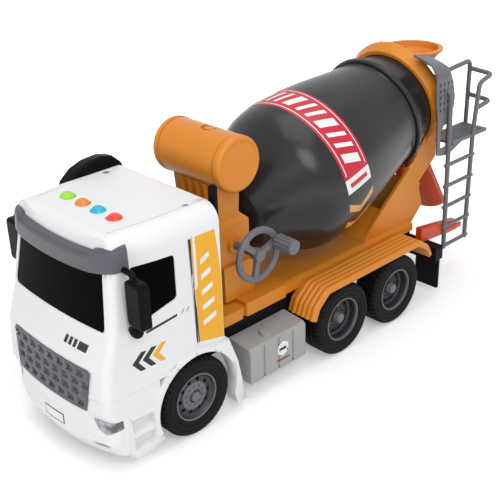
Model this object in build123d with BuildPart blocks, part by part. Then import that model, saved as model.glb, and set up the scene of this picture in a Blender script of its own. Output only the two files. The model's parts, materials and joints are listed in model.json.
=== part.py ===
"""Toy cement mixer truck: cab, chassis on three axles, crank-driven drum, hopper, chute and ladder.

Millimetres. +X runs forward to the cab, +Y to the truck's left, +Z up, and z = 0 is the floor.
"""
import os
from math import cos, radians, sin, tan

from build123d import *

os.makedirs("parts", exist_ok=True)

# %% Driving dimensions
FRONT_AXLE_X = 135.0      # front axle, ahead of the truck's middle
WHEELBASE = 149.0         # front axle to middle axle
BOGIE = 66.0              # middle axle to rear axle
AXLE_XS = {
    "front": FRONT_AXLE_X,
    "middle": FRONT_AXLE_X - WHEELBASE,
    "rear": FRONT_AXLE_X - WHEELBASE - BOGIE,
}
TYRE_R = 30.0
TYRE_WIDTH = 22.0
RIM_R = 18.0              # bead seat that the tyre grips
FRONT_FACE_Y = 58.5       # outer face of the front tyres
REAR_FACE_Y = 62.5        # outer face of the rear tyres
AXLE_R = 2.0
BEARING_GAP = 0.06        # running clearance of an axle or shaft in its hole
SKIN_GAP = 0.3            # clearance between round faces that move past each other
FIT_GAP = 0.1             # clearance round a panel that sits in a pocket

CAB_HALF_WIDTH = 58.0
CAB_REAR_X = FRONT_AXLE_X - 27.0
CAB_TOP = 167.0
CAB_SKIRT = 60.0          # height of the seam between cab and bumper
CAB_CORNER_R = 9.0
NOSE_BULGE = 13.0         # how far the front bows out between its corners
WALL = 2.2                # moulded wall of cab and bumper
NOSE_PROFILE = (          # height, and reach of the nose ahead of the front axle
    (14.0, 75.0),
    (25.0, 82.0),
    (60.0, 81.0),
    (108.0, 78.5),
    (148.0, 74.0),
    (CAB_TOP + 5.0, 69.0),
)

RAIL_OUT = 34.0           # outer face of the chassis rails
RAIL_THICK = 7.0
RAIL_IN = RAIL_OUT - RAIL_THICK
RAIL_BOTTOM = 38.0
RAIL_TOP = 60.0
CHASSIS_FRONT = FRONT_AXLE_X + 56.0
CHASSIS_REAR = FRONT_AXLE_X - 268.0

DECK_TOP = 68.0
DECK_HALF_WIDTH = 38.0
DECK_FRONT = FRONT_AXLE_X - 33.0
DECK_REAR = FRONT_AXLE_X - 266.0

DRUM_TILT = radians(14.0)
DRUM_X = FRONT_AXLE_X - 180.0   # a point on the drum's axis
DRUM_Z = 141.0
DRUM_WALL = 2.0
SHOULDER_R = 55.0
BELLY_R = 61.0
SEAM_R = 47.5
NECK_R = 42.5
DRUM_FRONT_R = 26.0
# stations along the drum's axis, counted towards the rear
DRUM_FRONT_S = -92.0
SHOULDER_S = -50.0
BELLY_S = -14.0
SEAM_S = 73.0
NECK_S = 97.0
MOUTH_S = 109.0


def ahead(distance):
    """The x of a point that lies this far ahead of the front axle."""
    return FRONT_AXLE_X + distance


def on_drum_axis(station, radius=0.0):
    """The x and z of a point beside the drum's axis, straight above it when radius is positive."""
    return (
        DRUM_X - station * cos(DRUM_TILT) + radius * sin(DRUM_TILT),
        DRUM_Z + station * sin(DRUM_TILT) + radius * cos(DRUM_TILT),
    )


# Sketches on DRUM_SIDE are drawn as (station along the axis, radius).
DRUM_SIDE = Plane(origin=(DRUM_X, 0, DRUM_Z), x_dir=(-cos(DRUM_TILT), 0, sin(DRUM_TILT)), z_dir=(0, 1, 0))
DRUM_AXIS = Axis((DRUM_X, 0, DRUM_Z), (-cos(DRUM_TILT), 0, sin(DRUM_TILT)))


def drum_plane(station):
    """The plane across the drum's axis at a station, with x up and the normal to the rear."""
    x, z = on_drum_axis(station)
    return Plane(origin=(x, 0, z), x_dir=(sin(DRUM_TILT), 0, cos(DRUM_TILT)), z_dir=DRUM_AXIS.direction)


def side_plane(y):
    """A plane at this y, where a sketch's x is the truck's x and its y is height."""
    return Plane(origin=(0, y, 0), x_dir=(1, 0, 0), z_dir=(0, -1, 0))


def front_plane(x):
    """A plane at this x, where a sketch's x is the truck's y and its y is height."""
    return Plane(origin=(x, 0, 0), x_dir=(0, 1, 0), z_dir=(1, 0, 0))


def slab_y(y_low, y_high, outline):
    """A plate between two y values, with an outline of (x, z) corners."""
    with BuildPart() as plate:
        with BuildSketch(side_plane(y_high)):
            with BuildLine():
                Polyline(*outline, close=True)
            make_face()
        extrude(amount=y_high - y_low)
    return plate.part


def rod(points, radius, bend=0.0):
    """A round rod along a line of points, with its corners bent to one radius."""
    with BuildPart() as bar:
        with BuildLine() as route:
            if bend:
                FilletPolyline(*points, radius=bend)
            else:
                Polyline(*points)
        with BuildSketch(route.line ^ 0):
            Circle(radius)
        sweep(transition=Transition.ROUND)
    return bar.part


def turned(plane, axis, outline):
    """A solid turned about an axis from an outline of (along, radius) corners."""
    with BuildPart() as blank:
        with BuildSketch(plane):
            with BuildLine():
                Polyline(*outline, close=True)
            make_face()
        revolve(axis=axis)
    return blank.part


def cab_block(inset, bottom, top):
    """The cab's outer form between two heights, drawn in by inset on every side but the cut ends."""
    edge = CAB_HALF_WIDTH - inset
    with BuildPart() as block:
        for height, reach in NOSE_PROFILE:
            side_x = ahead(reach) - NOSE_BULGE - inset
            with BuildSketch(Plane.XY.offset(height)):
                with BuildLine():
                    nose = ThreePointArc((side_x, -edge), (ahead(reach) - inset, 0), (side_x, edge))
                    Polyline(nose @ 1, (CAB_REAR_X + inset, edge), (CAB_REAR_X + inset, -edge), nose @ 0)
                corners = make_face().vertices().sort_by(Axis.X)[-2:]
                fillet(corners, CAB_CORNER_R - inset)
        loft(ruled=True)
        # front view: the roof rolls over into both sides
        with BuildSketch(front_plane(CAB_REAR_X - 5)) as front_view:
            with BuildLine():
                Polyline((-edge, 0), (-edge, CAB_TOP - inset), (edge, CAB_TOP - inset), (edge, 0), close=True)
            roof_corners = make_face().vertices().group_by(Axis.Y)[-1]
            fillet(roof_corners, 13.0 - inset)
        extrude(amount=130.0, mode=Mode.INTERSECT)
        # side view: the roof rolls over into the windscreen and the back
        with BuildSketch(side_plane(CAB_HALF_WIDTH + 5)):
            with BuildLine():
                brow = ahead(70.0) - inset
                Polyline(
                    (CAB_REAR_X + inset, 0), (CAB_REAR_X + inset, CAB_TOP - inset), (brow, CAB_TOP - inset),
                    (brow + 14.0, 100.0), (brow + 20.0, 0), close=True,
                )
            face = make_face()
            fillet(face.vertices().filter_by_position(Axis.Y, CAB_TOP - inset - 1, CAB_TOP)[-1:], 16.0 - inset)
        extrude(amount=2 * CAB_HALF_WIDTH + 10, mode=Mode.INTERSECT)
        with BuildSketch(Plane.XY.offset(bottom)):
            with Locations((ahead(20.0), 0)):
                Rectangle(200.0, 140.0)
        extrude(amount=top - bottom, mode=Mode.INTERSECT)
    return block.part


# %% Cab shell: one white moulding, open underneath
WINDSCREEN = [(-51.0, 107.0), (51.0, 107.0), (49.5, 147.0), (-49.5, 147.0)]       # (y, z)
SIDE_WINDOW = [(12.0, 114.0), (50.0, 106.0), (46.0, 146.0), (12.0, 145.0)]        # (ahead of axle, z)
GRILLE_OUTLINE = [(-44.0, 80.0), (44.0, 80.0), (39.5, 49.5), (-39.5, 49.5)]       # (y, z)
ARCH_R = 35.0             # opening over a front wheel
ARCH_LIP_R = 39.0
ARCH_IN = 50.0            # inner edge of the painted arch
ARCH_OUT = 60.3
REAR_WING = [(-18.0, 66.0), (-29.0, 66.0), (-37.0, 44.0), (-44.0, 9.0), (-35.0, 9.0), (-30.0, 30.0), (-20.0, 30.0)]
BUTTON_R = 5.2
BUTTON_PITCH = 17.5
BUTTON_COUNT = 4
BUTTON_X = ahead(32.0)
BUTTON_TRAVEL = 1.5
BOARD_TOP = 155.0
ROOF_SCREW_Y = 43.0
ROOF_SCREW_X = ahead(-12.0)
ROOF_SCREW_R = 2.6
BOSS_R = 3.0
PANEL_GROOVE = 0.7        # depth of shut lines and roof lines


def window_prism(outline, grow, corner, reach=30.0):
    """A block that runs through the nose, grown past its outline, for pockets and panes."""
    with BuildPart() as prism:
        with BuildSketch(front_plane(ahead(reach))):
            with BuildLine():
                Polyline(*outline, close=True)
            make_face()
            fillet(vertices(), corner)
            if grow:
                offset(amount=grow)
        extrude(amount=60.0)
    return prism.part


def door_prism(grow, corner=3.0):
    """A block that runs through both doors at the side windows."""
    with BuildPart() as prism:
        with BuildSketch(side_plane(CAB_HALF_WIDTH + 5)):
            with BuildLine():
                Polyline(*[(ahead(x), z) for x, z in SIDE_WINDOW], close=True)
            make_face()
            fillet(vertices(), corner)
            if grow:
                offset(amount=grow)
        extrude(amount=2 * CAB_HALF_WIDTH + 10)
    return prism.part


def wheel_arches(outline_only_ahead):
    """Both painted wheel-arch lips, the part ahead of and below the cab seam or the rest."""
    with BuildPart() as arches:
        with BuildSketch(side_plane(ARCH_OUT)):
            with Locations((FRONT_AXLE_X, TYRE_R)):
                Circle(ARCH_LIP_R)
            if outline_only_ahead:
                with Locations((ahead(ARCH_LIP_R / 2 + 10), CAB_SKIRT / 2 + 8)):
                    Rectangle(ARCH_LIP_R - 6, CAB_SKIRT - 16, mode=Mode.INTERSECT)
            else:
                with Locations((FRONT_AXLE_X, CAB_SKIRT + ARCH_LIP_R / 2)):
                    Rectangle(2 * ARCH_LIP_R, ARCH_LIP_R, mode=Mode.INTERSECT)
                with BuildLine():
                    Polyline(*[(ahead(x), z) for x, z in REAR_WING], close=True)
                make_face()
            with Locations((FRONT_AXLE_X, TYRE_R)):
                Circle(ARCH_R, mode=Mode.SUBTRACT)
        extrude(amount=ARCH_OUT - ARCH_IN)
        mirror(about=Plane.XZ)
    return arches.part


def wheel_wells():
    """The round spaces cleared for both front wheels."""
    with BuildPart() as wells:
        with BuildSketch(side_plane(ARCH_OUT + 1)):
            with Locations((FRONT_AXLE_X, TYRE_R)):
                Circle(ARCH_R)
        extrude(amount=ARCH_OUT + 1 - RAIL_OUT)
        mirror(about=Plane.XZ)
    return wells.part


grille_pocket = window_prism(GRILLE_OUTLINE, FIT_GAP, 2.0) - cab_block(1.6, 0, CAB_TOP + 5)
arch_wells = wheel_wells()

with BuildPart() as cab_shell:
    add(cab_block(0, CAB_SKIRT, CAB_TOP + 5))
    add(cab_block(WALL, CAB_SKIRT - 1, CAB_TOP + 5), mode=Mode.SUBTRACT)
    # the back is open, and the black panel closes it
    with BuildSketch(front_plane(CAB_REAR_X - 1)):
        with Locations((0, (CAB_SKIRT + CAB_TOP - 14) / 2)):
            RectangleRounded(2 * CAB_HALF_WIDTH - 16, CAB_TOP - CAB_SKIRT - 22, 6.0)
    extrude(amount=2 * WALL, mode=Mode.SUBTRACT)
    add(window_prism(WINDSCREEN, FIT_GAP, 3.0), mode=Mode.SUBTRACT)
    add(door_prism(FIT_GAP), mode=Mode.SUBTRACT)
    add(wheel_arches(False))
    add(arch_wells, mode=Mode.SUBTRACT)
    add(grille_pocket, mode=Mode.SUBTRACT)
    # four screw bosses under the roof carry the sound board
    with BuildSketch(Plane.XY.offset(BOARD_TOP)):
        with Locations((BUTTON_X, 0)):
            with GridLocations(22.0, 64.0, 2, 2):
                Circle(BOSS_R)
    extrude(amount=CAB_TOP - WALL - BOARD_TOP)
    # button holes and countersunk roof screws
    with Locations(Plane.XY.offset(CAB_TOP)):
        with Locations((BUTTON_X, 0)):
            with GridLocations(1.0, BUTTON_PITCH, 1, BUTTON_COUNT):
                Hole(BUTTON_R + SKIN_GAP, depth=2 * WALL)
        with Locations((ROOF_SCREW_X, ROOF_SCREW_Y), (ROOF_SCREW_X, -ROOF_SCREW_Y)):
            CounterBoreHole(1.2, ROOF_SCREW_R + FIT_GAP, 1.4, depth=2 * WALL)
    # roof lines, and the rear shut line of each door
    with BuildSketch(Plane.XY.offset(CAB_TOP)):
        with Locations((ahead(18.0), 0)):
            with GridLocations(1.0, 88.0, 1, 2):
                Rectangle(72.0, 1.2)
    extrude(amount=-PANEL_GROOVE, mode=Mode.SUBTRACT)
    for plane, into in ((side_plane(CAB_HALF_WIDTH), 1), (side_plane(-CAB_HALF_WIDTH), -1)):
        with BuildSketch(plane):
            with Locations((ahead(-3.0), 112.0)):
                Rectangle(1.6, 80.0)
        extrude(amount=into * PANEL_GROOVE, mode=Mode.SUBTRACT)
cab_shell.part.label = "cab_shell"
export_step(cab_shell.part, "parts/cab_shell.step")

# %% Panes, grille, visor: panels that follow the nose
PANE_DEPTH = 0.5          # how far the panes sit below the skin

with BuildPart() as windshield:
    add(cab_block(PANE_DEPTH, CAB_SKIRT, CAB_TOP))
    add(cab_block(WALL + 0.4, CAB_SKIRT - 1, CAB_TOP), mode=Mode.SUBTRACT)
    add(window_prism(WINDSCREEN, 0, 3.0), mode=Mode.INTERSECT)
windshield.part.label = "windshield"
export_step(windshield.part, "parts/windshield.step")

for side_name, side in (("left", 1), ("right", -1)):
    with BuildPart() as side_window:
        add(cab_block(PANE_DEPTH, CAB_SKIRT, CAB_TOP))
        add(cab_block(WALL + 0.4, CAB_SKIRT - 1, CAB_TOP), mode=Mode.SUBTRACT)
        add(door_prism(0), mode=Mode.INTERSECT)
        split(bisect_by=Plane.XZ, keep=Keep.BOTTOM if side > 0 else Keep.TOP)
    side_window.part.label = f"side_window_{side_name}"
    export_step(side_window.part, f"parts/side_window_{side_name}.step")

GRILLE_ROWS = 4
GRILLE_COLUMNS = 8
GRILLE_PITCH_Y = 10.6
GRILLE_PITCH_Z = 7.2

with BuildPart() as grille_cells:
    for row in range(GRILLE_ROWS):
        stagger = GRILLE_PITCH_Y / 4 * (1 if row % 2 else -1)
        height = GRILLE_OUTLINE[0][1] - GRILLE_PITCH_Z * (row + 0.5) - 0.6
        with BuildSketch(front_plane(ahead(60.0))):
            with Locations((stagger, height)):
                with GridLocations(GRILLE_PITCH_Y, 1.0, GRILLE_COLUMNS - row // 2, 1):
                    Polygon((-3.9, 2.4), (2.3, 2.4), (4.1, 0.0), (2.3, -2.4), (-3.9, -2.4), (-2.1, 0.0),
                            align=(Align.CENTER, Align.CENTER))
        extrude(amount=30.0)
    add(cab_block(0.9, 0, CAB_TOP), mode=Mode.SUBTRACT)

with BuildPart() as grille:
    add(cab_block(-0.6, 0, CAB_TOP))
    add(cab_block(1.6, 0, CAB_TOP), mode=Mode.SUBTRACT)
    add(window_prism(GRILLE_OUTLINE, 0, 2.0), mode=Mode.INTERSECT)
    add(grille_cells.part, mode=Mode.SUBTRACT)
grille.part.label = "grille"
export_step(grille.part, "parts/grille.step")

VISOR_DEPTH = 4.5
VISOR_REAR = ahead(49.0)
VISOR_LOW = 146.0
VISOR_HIGH = 160.0

with BuildPart() as sun_visor:
    add(cab_block(-VISOR_DEPTH, VISOR_LOW - 4, VISOR_HIGH))
    add(cab_block(0, 0, CAB_TOP + 5), mode=Mode.SUBTRACT)
    # front view: the band dips between two upturned ends
    with BuildSketch(front_plane(VISOR_REAR)):
        with BuildLine():
            end = CAB_HALF_WIDTH + VISOR_DEPTH
            low = ThreePointArc((-end, VISOR_LOW), (0, VISOR_LOW - 3.5), (end, VISOR_LOW))
            Polyline(low @ 1, (end, VISOR_HIGH), (end - 14, VISOR_HIGH), (end - 20, VISOR_HIGH - 3))
            ThreePointArc((end - 20, VISOR_HIGH - 3), (0, VISOR_HIGH - 5), (20 - end, VISOR_HIGH - 3))
            Polyline((20 - end, VISOR_HIGH - 3), (14 - end, VISOR_HIGH), (-end, VISOR_HIGH), low @ 0)
        make_face()
    extrude(amount=60.0, mode=Mode.INTERSECT)
sun_visor.part.label = "sun_visor"
export_step(sun_visor.part, "parts/sun_visor.step")

# %% Bumper with steps, and the lamps in its corners
LAMP = [(43.0, 45.5), (59.0, 43.5), (59.0, 38.0), (52.0, 34.5), (47.0, 37.0)]     # (y, z)
LAMP_REAR = 62.0
STEP_FRONT = ahead(58.0)
STEP_REAR = ahead(ARCH_R - 4.0)
STEP_BOTTOM = 9.5
STEP_OUT = CAB_HALF_WIDTH + 1.0

lamp_prisms = Part() + [
    window_prism([(side * y, z) for y, z in LAMP], FIT_GAP, 1.0, LAMP_REAR) for side in (1, -1)
]

with BuildPart() as front_bumper:
    add(cab_block(0, NOSE_PROFILE[0][0], CAB_SKIRT))
    add(cab_block(WALL, NOSE_PROFILE[0][0] - 1, CAB_SKIRT + 1), mode=Mode.SUBTRACT)
    # nothing stands behind the wheel arch
    with BuildSketch(Plane.XY):
        with Locations((ahead(-20.0), 0)):
            Rectangle(2 * (20.0 + ARCH_R - 4.0), 140.0)
    extrude(amount=CAB_SKIRT + 5, mode=Mode.SUBTRACT)
    add(wheel_arches(True))
    # a stepped block under each door
    with BuildSketch(side_plane(STEP_OUT)):
        with BuildLine():
            Polyline(
                (STEP_REAR, STEP_BOTTOM), (STEP_FRONT - 1, STEP_BOTTOM), (STEP_FRONT + 1, STEP_BOTTOM + 6),
                (STEP_FRONT, 44.0), (STEP_REAR, 44.0), close=True,
            )
        make_face()
    extrude(amount=12.0)
    with BuildSketch(side_plane(STEP_OUT)):
        with Locations(((STEP_REAR + STEP_FRONT) / 2 + 2.5, 21.0), ((STEP_REAR + STEP_FRONT) / 2 + 2.5, 35.0)):
            Rectangle(17.0, 9.0)
    extrude(amount=5.0, mode=Mode.SUBTRACT)
    split(bisect_by=Plane.XZ, keep=Keep.BOTTOM)
    mirror(about=Plane.XZ)
    add(arch_wells, mode=Mode.SUBTRACT)
    add(grille_pocket, mode=Mode.SUBTRACT)
    add(lamp_prisms - cab_block(1.6, 0, CAB_TOP), mode=Mode.SUBTRACT)
    # dark slots beside the lamps, and two feet that carry the bumper on the chassis
    with BuildSketch(front_plane(ahead(40.0))):
        with GridLocations(92.0, 1.0, 2, 1):
            with Locations((0, 24.0)):
                SlotOverall(12.0, 3.4)
    extrude(amount=60.0, mode=Mode.SUBTRACT)
    with BuildSketch(Plane.XY.offset(RAIL_BOTTOM + 2)):
        with Locations((CHASSIS_FRONT + 10, 0)):
            with GridLocations(1.0, 2 * RAIL_OUT - RAIL_THICK, 1, 2):
                Rectangle(20.0, RAIL_THICK)
    extrude(amount=8.0)
front_bumper.part.label = "front_bumper"
export_step(front_bumper.part, "parts/front_bumper.step")

for side_name, side in (("left", 1), ("right", -1)):
    with BuildPart() as headlight:
        add(cab_block(-0.3, 0, CAB_SKIRT))
        add(cab_block(1.6, -1, CAB_SKIRT + 1), mode=Mode.SUBTRACT)
        add(window_prism([(side * y, z) for y, z in LAMP], 0, 1.0, LAMP_REAR + FIT_GAP), mode=Mode.INTERSECT)
    headlight.part.label = f"headlight_{side_name}"
    export_step(headlight.part, f"parts/headlight_{side_name}.step")

# %% Mirrors: an arm at the roof line, a tall housing and a ball foot
MIRROR_X = ahead(44.5)
MIRROR_IN = 61.5
MIRROR_OUT = 76.0
MIRROR_LOW = 113.0
MIRROR_HIGH = 145.0
MIRROR_DEPTH = 7.6

for side_name, side in (("left", 1), ("right", -1)):
    with BuildPart() as mirror_unit:
        with BuildSketch(front_plane(MIRROR_X - MIRROR_DEPTH / 2)):
            with Locations((side * (MIRROR_IN + MIRROR_OUT) / 2, (MIRROR_LOW + MIRROR_HIGH) / 2)):
                RectangleRounded(MIRROR_OUT - MIRROR_IN, MIRROR_HIGH - MIRROR_LOW, 3.5)
        extrude(amount=MIRROR_DEPTH)
        fillet(mirror_unit.faces().sort_by(Axis.X)[-1].edges(), 2.5)
        # the mirror glass sits in a shallow frame on the rear face
        with BuildSketch(front_plane(MIRROR_X - MIRROR_DEPTH / 2)):
            with Locations((side * (MIRROR_IN + MIRROR_OUT) / 2, (MIRROR_LOW + MIRROR_HIGH) / 2)):
                RectangleRounded(MIRROR_OUT - MIRROR_IN - 3, MIRROR_HIGH - MIRROR_LOW - 3, 2.0)
        extrude(amount=0.8, mode=Mode.SUBTRACT)
        add(rod([
            (MIRROR_X, side * (CAB_HALF_WIDTH - 0.6), MIRROR_HIGH + 4), (MIRROR_X, side * 66.0, MIRROR_HIGH + 4),
            (MIRROR_X, side * 66.0, MIRROR_HIGH - 3),
        ], 2.0, 2.6))
        add(rod([
            (MIRROR_X, side * (CAB_HALF_WIDTH - 0.6), MIRROR_LOW - 5), (MIRROR_X, side * 65.0, MIRROR_LOW - 5),
            (MIRROR_X, side * 65.0, MIRROR_LOW + 3),
        ], 1.8, 2.6))
        with Locations((MIRROR_X, side * 65.0, MIRROR_LOW - 4.5)):
            Sphere(4.0)
        add(cab_block(0, CAB_SKIRT, CAB_TOP), mode=Mode.SUBTRACT)
    mirror_unit.part.label = f"mirror_{side_name}"
    export_step(mirror_unit.part, f"parts/mirror_{side_name}.step")

# %% Black back panel of the cab, with an upright at its left end, and the air intake beside the roof
PANEL_THICK = 2.0

with BuildPart() as cab_back_panel:
    with BuildSketch(front_plane(CAB_REAR_X - PANEL_THICK)):
        with Locations((0, (RAIL_BOTTOM + CAB_TOP - 8) / 2)):
            RectangleRounded(2 * CAB_HALF_WIDTH - 4, CAB_TOP - 8 - RAIL_BOTTOM, 8.0)
    extrude(amount=PANEL_THICK)
    # stiffening ribs across the back
    with BuildSketch(front_plane(CAB_REAR_X - PANEL_THICK)):
        with GridLocations(20.0, 1.0, 4, 1):
            with Locations((0, 120.0)):
                SlotOverall(60.0, 3.0, rotation=90)
    extrude(amount=-1.2)
    # upright that clears the roof
    with BuildSketch(front_plane(CAB_REAR_X - PANEL_THICK - 3)):
        with Locations((49.0, 155.0)):
            SlotOverall(44.0, 6.0, rotation=90)
    extrude(amount=3.0)
    # the rails run under the panel
    with BuildSketch(front_plane(CAB_REAR_X - 8)):
        with Locations((0, RAIL_BOTTOM)):
            Rectangle(2 * RAIL_OUT + 2 * FIT_GAP, 2 * (RAIL_TOP - RAIL_BOTTOM) + 2 * FIT_GAP)
    extrude(amount=16.0, mode=Mode.SUBTRACT)
    add(arch_wells, mode=Mode.SUBTRACT)
    add(cab_shell.part, mode=Mode.SUBTRACT)
cab_back_panel.part.label = "cab_back_panel"
export_step(cab_back_panel.part, "parts/cab_back_panel.step")

INTAKE_HIGH = 176.0

with BuildPart() as air_intake:
    # side view: a hooded duct that lies along the right roof edge and drops behind the cab
    with BuildSketch(side_plane(-CAB_HALF_WIDTH + 9)):
        with BuildLine():
            hood = Spline((ahead(18.0), 160.0), (ahead(8.0), 172.0), (ahead(-16.0), INTAKE_HIGH),
                          (ahead(-31.0), 170.0), (ahead(-36.0), 155.0))
            Polyline(hood @ 1, (ahead(-36.0), 110.0), (ahead(-29.2), 110.0), (ahead(-29.2), 154.0))
            inner = Spline((ahead(-29.2), 154.0), (ahead(-24.0), 165.0), (ahead(-12.0), 169.4), (ahead(4.0), 167.4),
                           (ahead(12.0), 160.0))
            Line(inner @ 1, hood @ 0)
        make_face()
    extrude(amount=10.0)
    add(cab_block(-FIT_GAP, 0, CAB_TOP + 5), mode=Mode.SUBTRACT)
    add(cab_back_panel.part, mode=Mode.SUBTRACT)
air_intake.part.label = "air_intake"
export_step(air_intake.part, "parts/air_intake.step")

# %% Sound board with its four push buttons, and the speaker
BOARD_THICK = 1.6
SWITCH_HEIGHT = 1.6
BUTTON_TOP = CAB_TOP + 1.4
BUTTON_FLANGE_R = 6.6
BUTTON_FOOT = BOARD_TOP + SWITCH_HEIGHT + BUTTON_TRAVEL + 0.4

with BuildPart() as sound_board:
    with BuildSketch(Plane.XY.offset(BOARD_TOP)):
        with Locations((BUTTON_X, 0)):
            RectangleRounded(30.0, 74.0, 2.0)
            with GridLocations(22.0, 64.0, 2, 2):
                Circle(1.0, mode=Mode.SUBTRACT)
    extrude(amount=-BOARD_THICK)
    with BuildSketch(Plane.XY.offset(BOARD_TOP)):
        with Locations((BUTTON_X, 0)):
            with GridLocations(1.0, BUTTON_PITCH, 1, BUTTON_COUNT):
                Rectangle(6.0, 6.0)
    extrude(amount=SWITCH_HEIGHT)
sound_board.part.label = "sound_board"
export_step(sound_board.part, "parts/sound_board.step")

BUTTON_COLOURS = ("green", "orange", "blue", "red")
for index, colour in enumerate(BUTTON_COLOURS):
    button_y = (index - (BUTTON_COUNT - 1) / 2) * BUTTON_PITCH
    with BuildPart() as button:
        with BuildSketch(Plane(origin=(BUTTON_X, button_y, 0), x_dir=(1, 0, 0), z_dir=(0, -1, 0))):
            with BuildLine():
                flange = CAB_TOP - WALL - SKIN_GAP
                Polyline(
                    (0, BUTTON_TOP), (0, BUTTON_FOOT), (BUTTON_R - 1.5, BUTTON_FOOT), (BUTTON_R - 1.5, flange - 1.2),
                    (BUTTON_FLANGE_R, flange - 1.2), (BUTTON_FLANGE_R, flange), (BUTTON_R, flange),
                    (BUTTON_R, CAB_TOP),
                )
                dome = ThreePointArc((BUTTON_R, CAB_TOP), (BUTTON_R * 0.72, CAB_TOP + 0.95), (0.8, BUTTON_TOP))
                Line(dome @ 1, (0, BUTTON_TOP))
            make_face()
        revolve(axis=Axis((BUTTON_X, button_y, 0), (0, 0, 1)))
    button.part.label = f"button_{colour}"
    export_step(button.part, f"parts/button_{colour}.step")

SPEAKER_Z = 112.0
with BuildPart() as speaker:
    with BuildSketch(front_plane(CAB_REAR_X)):
        with Locations((0, SPEAKER_Z)):
            Circle(15.0)
    extrude(amount=3.0)
    with BuildSketch(front_plane(CAB_REAR_X + 3.0)) as cone_base:
        with Locations((0, SPEAKER_Z)):
            Circle(12.0)
    with BuildSketch(front_plane(CAB_REAR_X + 9.0)):
        with Locations((0, SPEAKER_Z)):
            Circle(7.0)
    loft()
speaker.part.label = "speaker"
export_step(speaker.part, "parts/speaker.step")

# %% Chassis: two rails, cross members, and a bearing block at each end of every axle
BLOCK_HALF = 6.0
BLOCK_BOTTOM = 24.0
MOTOR_HALF = 21.0

with BuildPart() as chassis_frame:
    with BuildSketch(side_plane(RAIL_OUT)):
        with BuildLine():
            Polyline(
                (CHASSIS_REAR, RAIL_TOP), (CHASSIS_FRONT, RAIL_TOP), (CHASSIS_FRONT, RAIL_BOTTOM + 10),
                (CHASSIS_FRONT - 10, RAIL_BOTTOM), (CHASSIS_REAR + 8, RAIL_BOTTOM), (CHASSIS_REAR, RAIL_BOTTOM + 8),
                close=True,
            )
        make_face()
        for axle_x in AXLE_XS.values():
            with Locations((axle_x, (BLOCK_BOTTOM + RAIL_BOTTOM) / 2 + 1)):
                Rectangle(2 * BLOCK_HALF, RAIL_BOTTOM - BLOCK_BOTTOM + 2)
        for axle_x in AXLE_XS.values():
            with Locations((axle_x, TYRE_R)):
                Circle(AXLE_R + BEARING_GAP, mode=Mode.SUBTRACT)
    extrude(amount=RAIL_THICK)
    mirror(about=Plane.XZ)
    # cross members
    with BuildSketch(Plane.XY.offset(RAIL_TOP)):
        for x in (CHASSIS_FRONT - 5, AXLE_XS["front"] - 22, DECK_FRONT - 8, AXLE_XS["middle"] + 38, CHASSIS_REAR + 5):
            with Locations((x, 0)):
                Rectangle(10.0, 2 * RAIL_IN)
    extrude(amount=-6.0)
chassis_frame.part.label = "chassis_frame"
export_step(chassis_frame.part, "parts/chassis_frame.step")

with BuildPart() as friction_motor:
    with BuildSketch(side_plane(RAIL_IN)):
        with Locations((AXLE_XS["middle"], (22.0 + RAIL_TOP - 8) / 2)):
            RectangleRounded(2 * MOTOR_HALF, RAIL_TOP - 8 - 22.0, 4.0)
        with Locations((AXLE_XS["middle"], TYRE_R)):
            Circle(AXLE_R + BEARING_GAP, mode=Mode.SUBTRACT)
    extrude(amount=2 * RAIL_IN)
friction_motor.part.label = "friction_motor"
export_step(friction_motor.part, "parts/friction_motor.step")

BOX_FRONT = ahead(-62.0)
BOX_REAR = ahead(-112.0)
BOX_BOTTOM = 20.0
DOOR_THICK = 1.8

with BuildPart() as battery_box:
    with BuildSketch(Plane.XY.offset(BOX_BOTTOM)):
        with Locations(((BOX_FRONT + BOX_REAR) / 2, 0)):
            RectangleRounded(BOX_FRONT - BOX_REAR, 2 * RAIL_IN, 1.0)
    extrude(amount=RAIL_TOP - 6 - BOX_BOTTOM)
    with BuildSketch(Plane.XY.offset(BOX_BOTTOM)):
        with Locations(((BOX_FRONT + BOX_REAR) / 2, 0)):
            RectangleRounded(BOX_FRONT - BOX_REAR - 8, 2 * RAIL_IN - 8, 1.5)
    extrude(amount=DOOR_THICK, mode=Mode.SUBTRACT)
    with BuildSketch(Plane.XY.offset(BOX_BOTTOM + DOOR_THICK)):
        with Locations(((BOX_FRONT + BOX_REAR) / 2, 0)):
            with GridLocations(1.0, 16.0, 1, 2):
                SlotOverall(BOX_FRONT - BOX_REAR - 12, 14.5)
    extrude(amount=16.0, mode=Mode.SUBTRACT)
battery_box.part.label = "battery_box"
export_step(battery_box.part, "parts/battery_box.step")

with BuildPart() as battery_door:
    with BuildSketch(Plane.XY.offset(BOX_BOTTOM)):
        with Locations(((BOX_FRONT + BOX_REAR) / 2, 0)):
            RectangleRounded(BOX_FRONT - BOX_REAR - 8 - 2 * FIT_GAP, 2 * RAIL_IN - 8 - 2 * FIT_GAP, 1.5 - FIT_GAP)
    extrude(amount=DOOR_THICK)
    with BuildSketch(Plane.XY.offset(BOX_BOTTOM)):
        with Locations((BOX_REAR + 8, 0)):
            with GridLocations(2.4, 1.0, 3, 1):
                SlotOverall(16.0, 1.2, rotation=90)
    extrude(amount=0.6, mode=Mode.SUBTRACT)
battery_door.part.label = "battery_door"
export_step(battery_door.part, "parts/battery_door.step")

# %% Axles, tyres and rims
TREAD_LUGS = 20
RIM_LIP = 1.0
HUB_R = 6.0
HAND_HOLES = 10


def wheel_outline_plane(axle_x):
    """The plane through an axle on which a wheel's outline is drawn as (y, radius)."""
    return Plane(origin=(axle_x, 0, TYRE_R), x_dir=(0, 1, 0), z_dir=(1, 0, 0))


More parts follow.
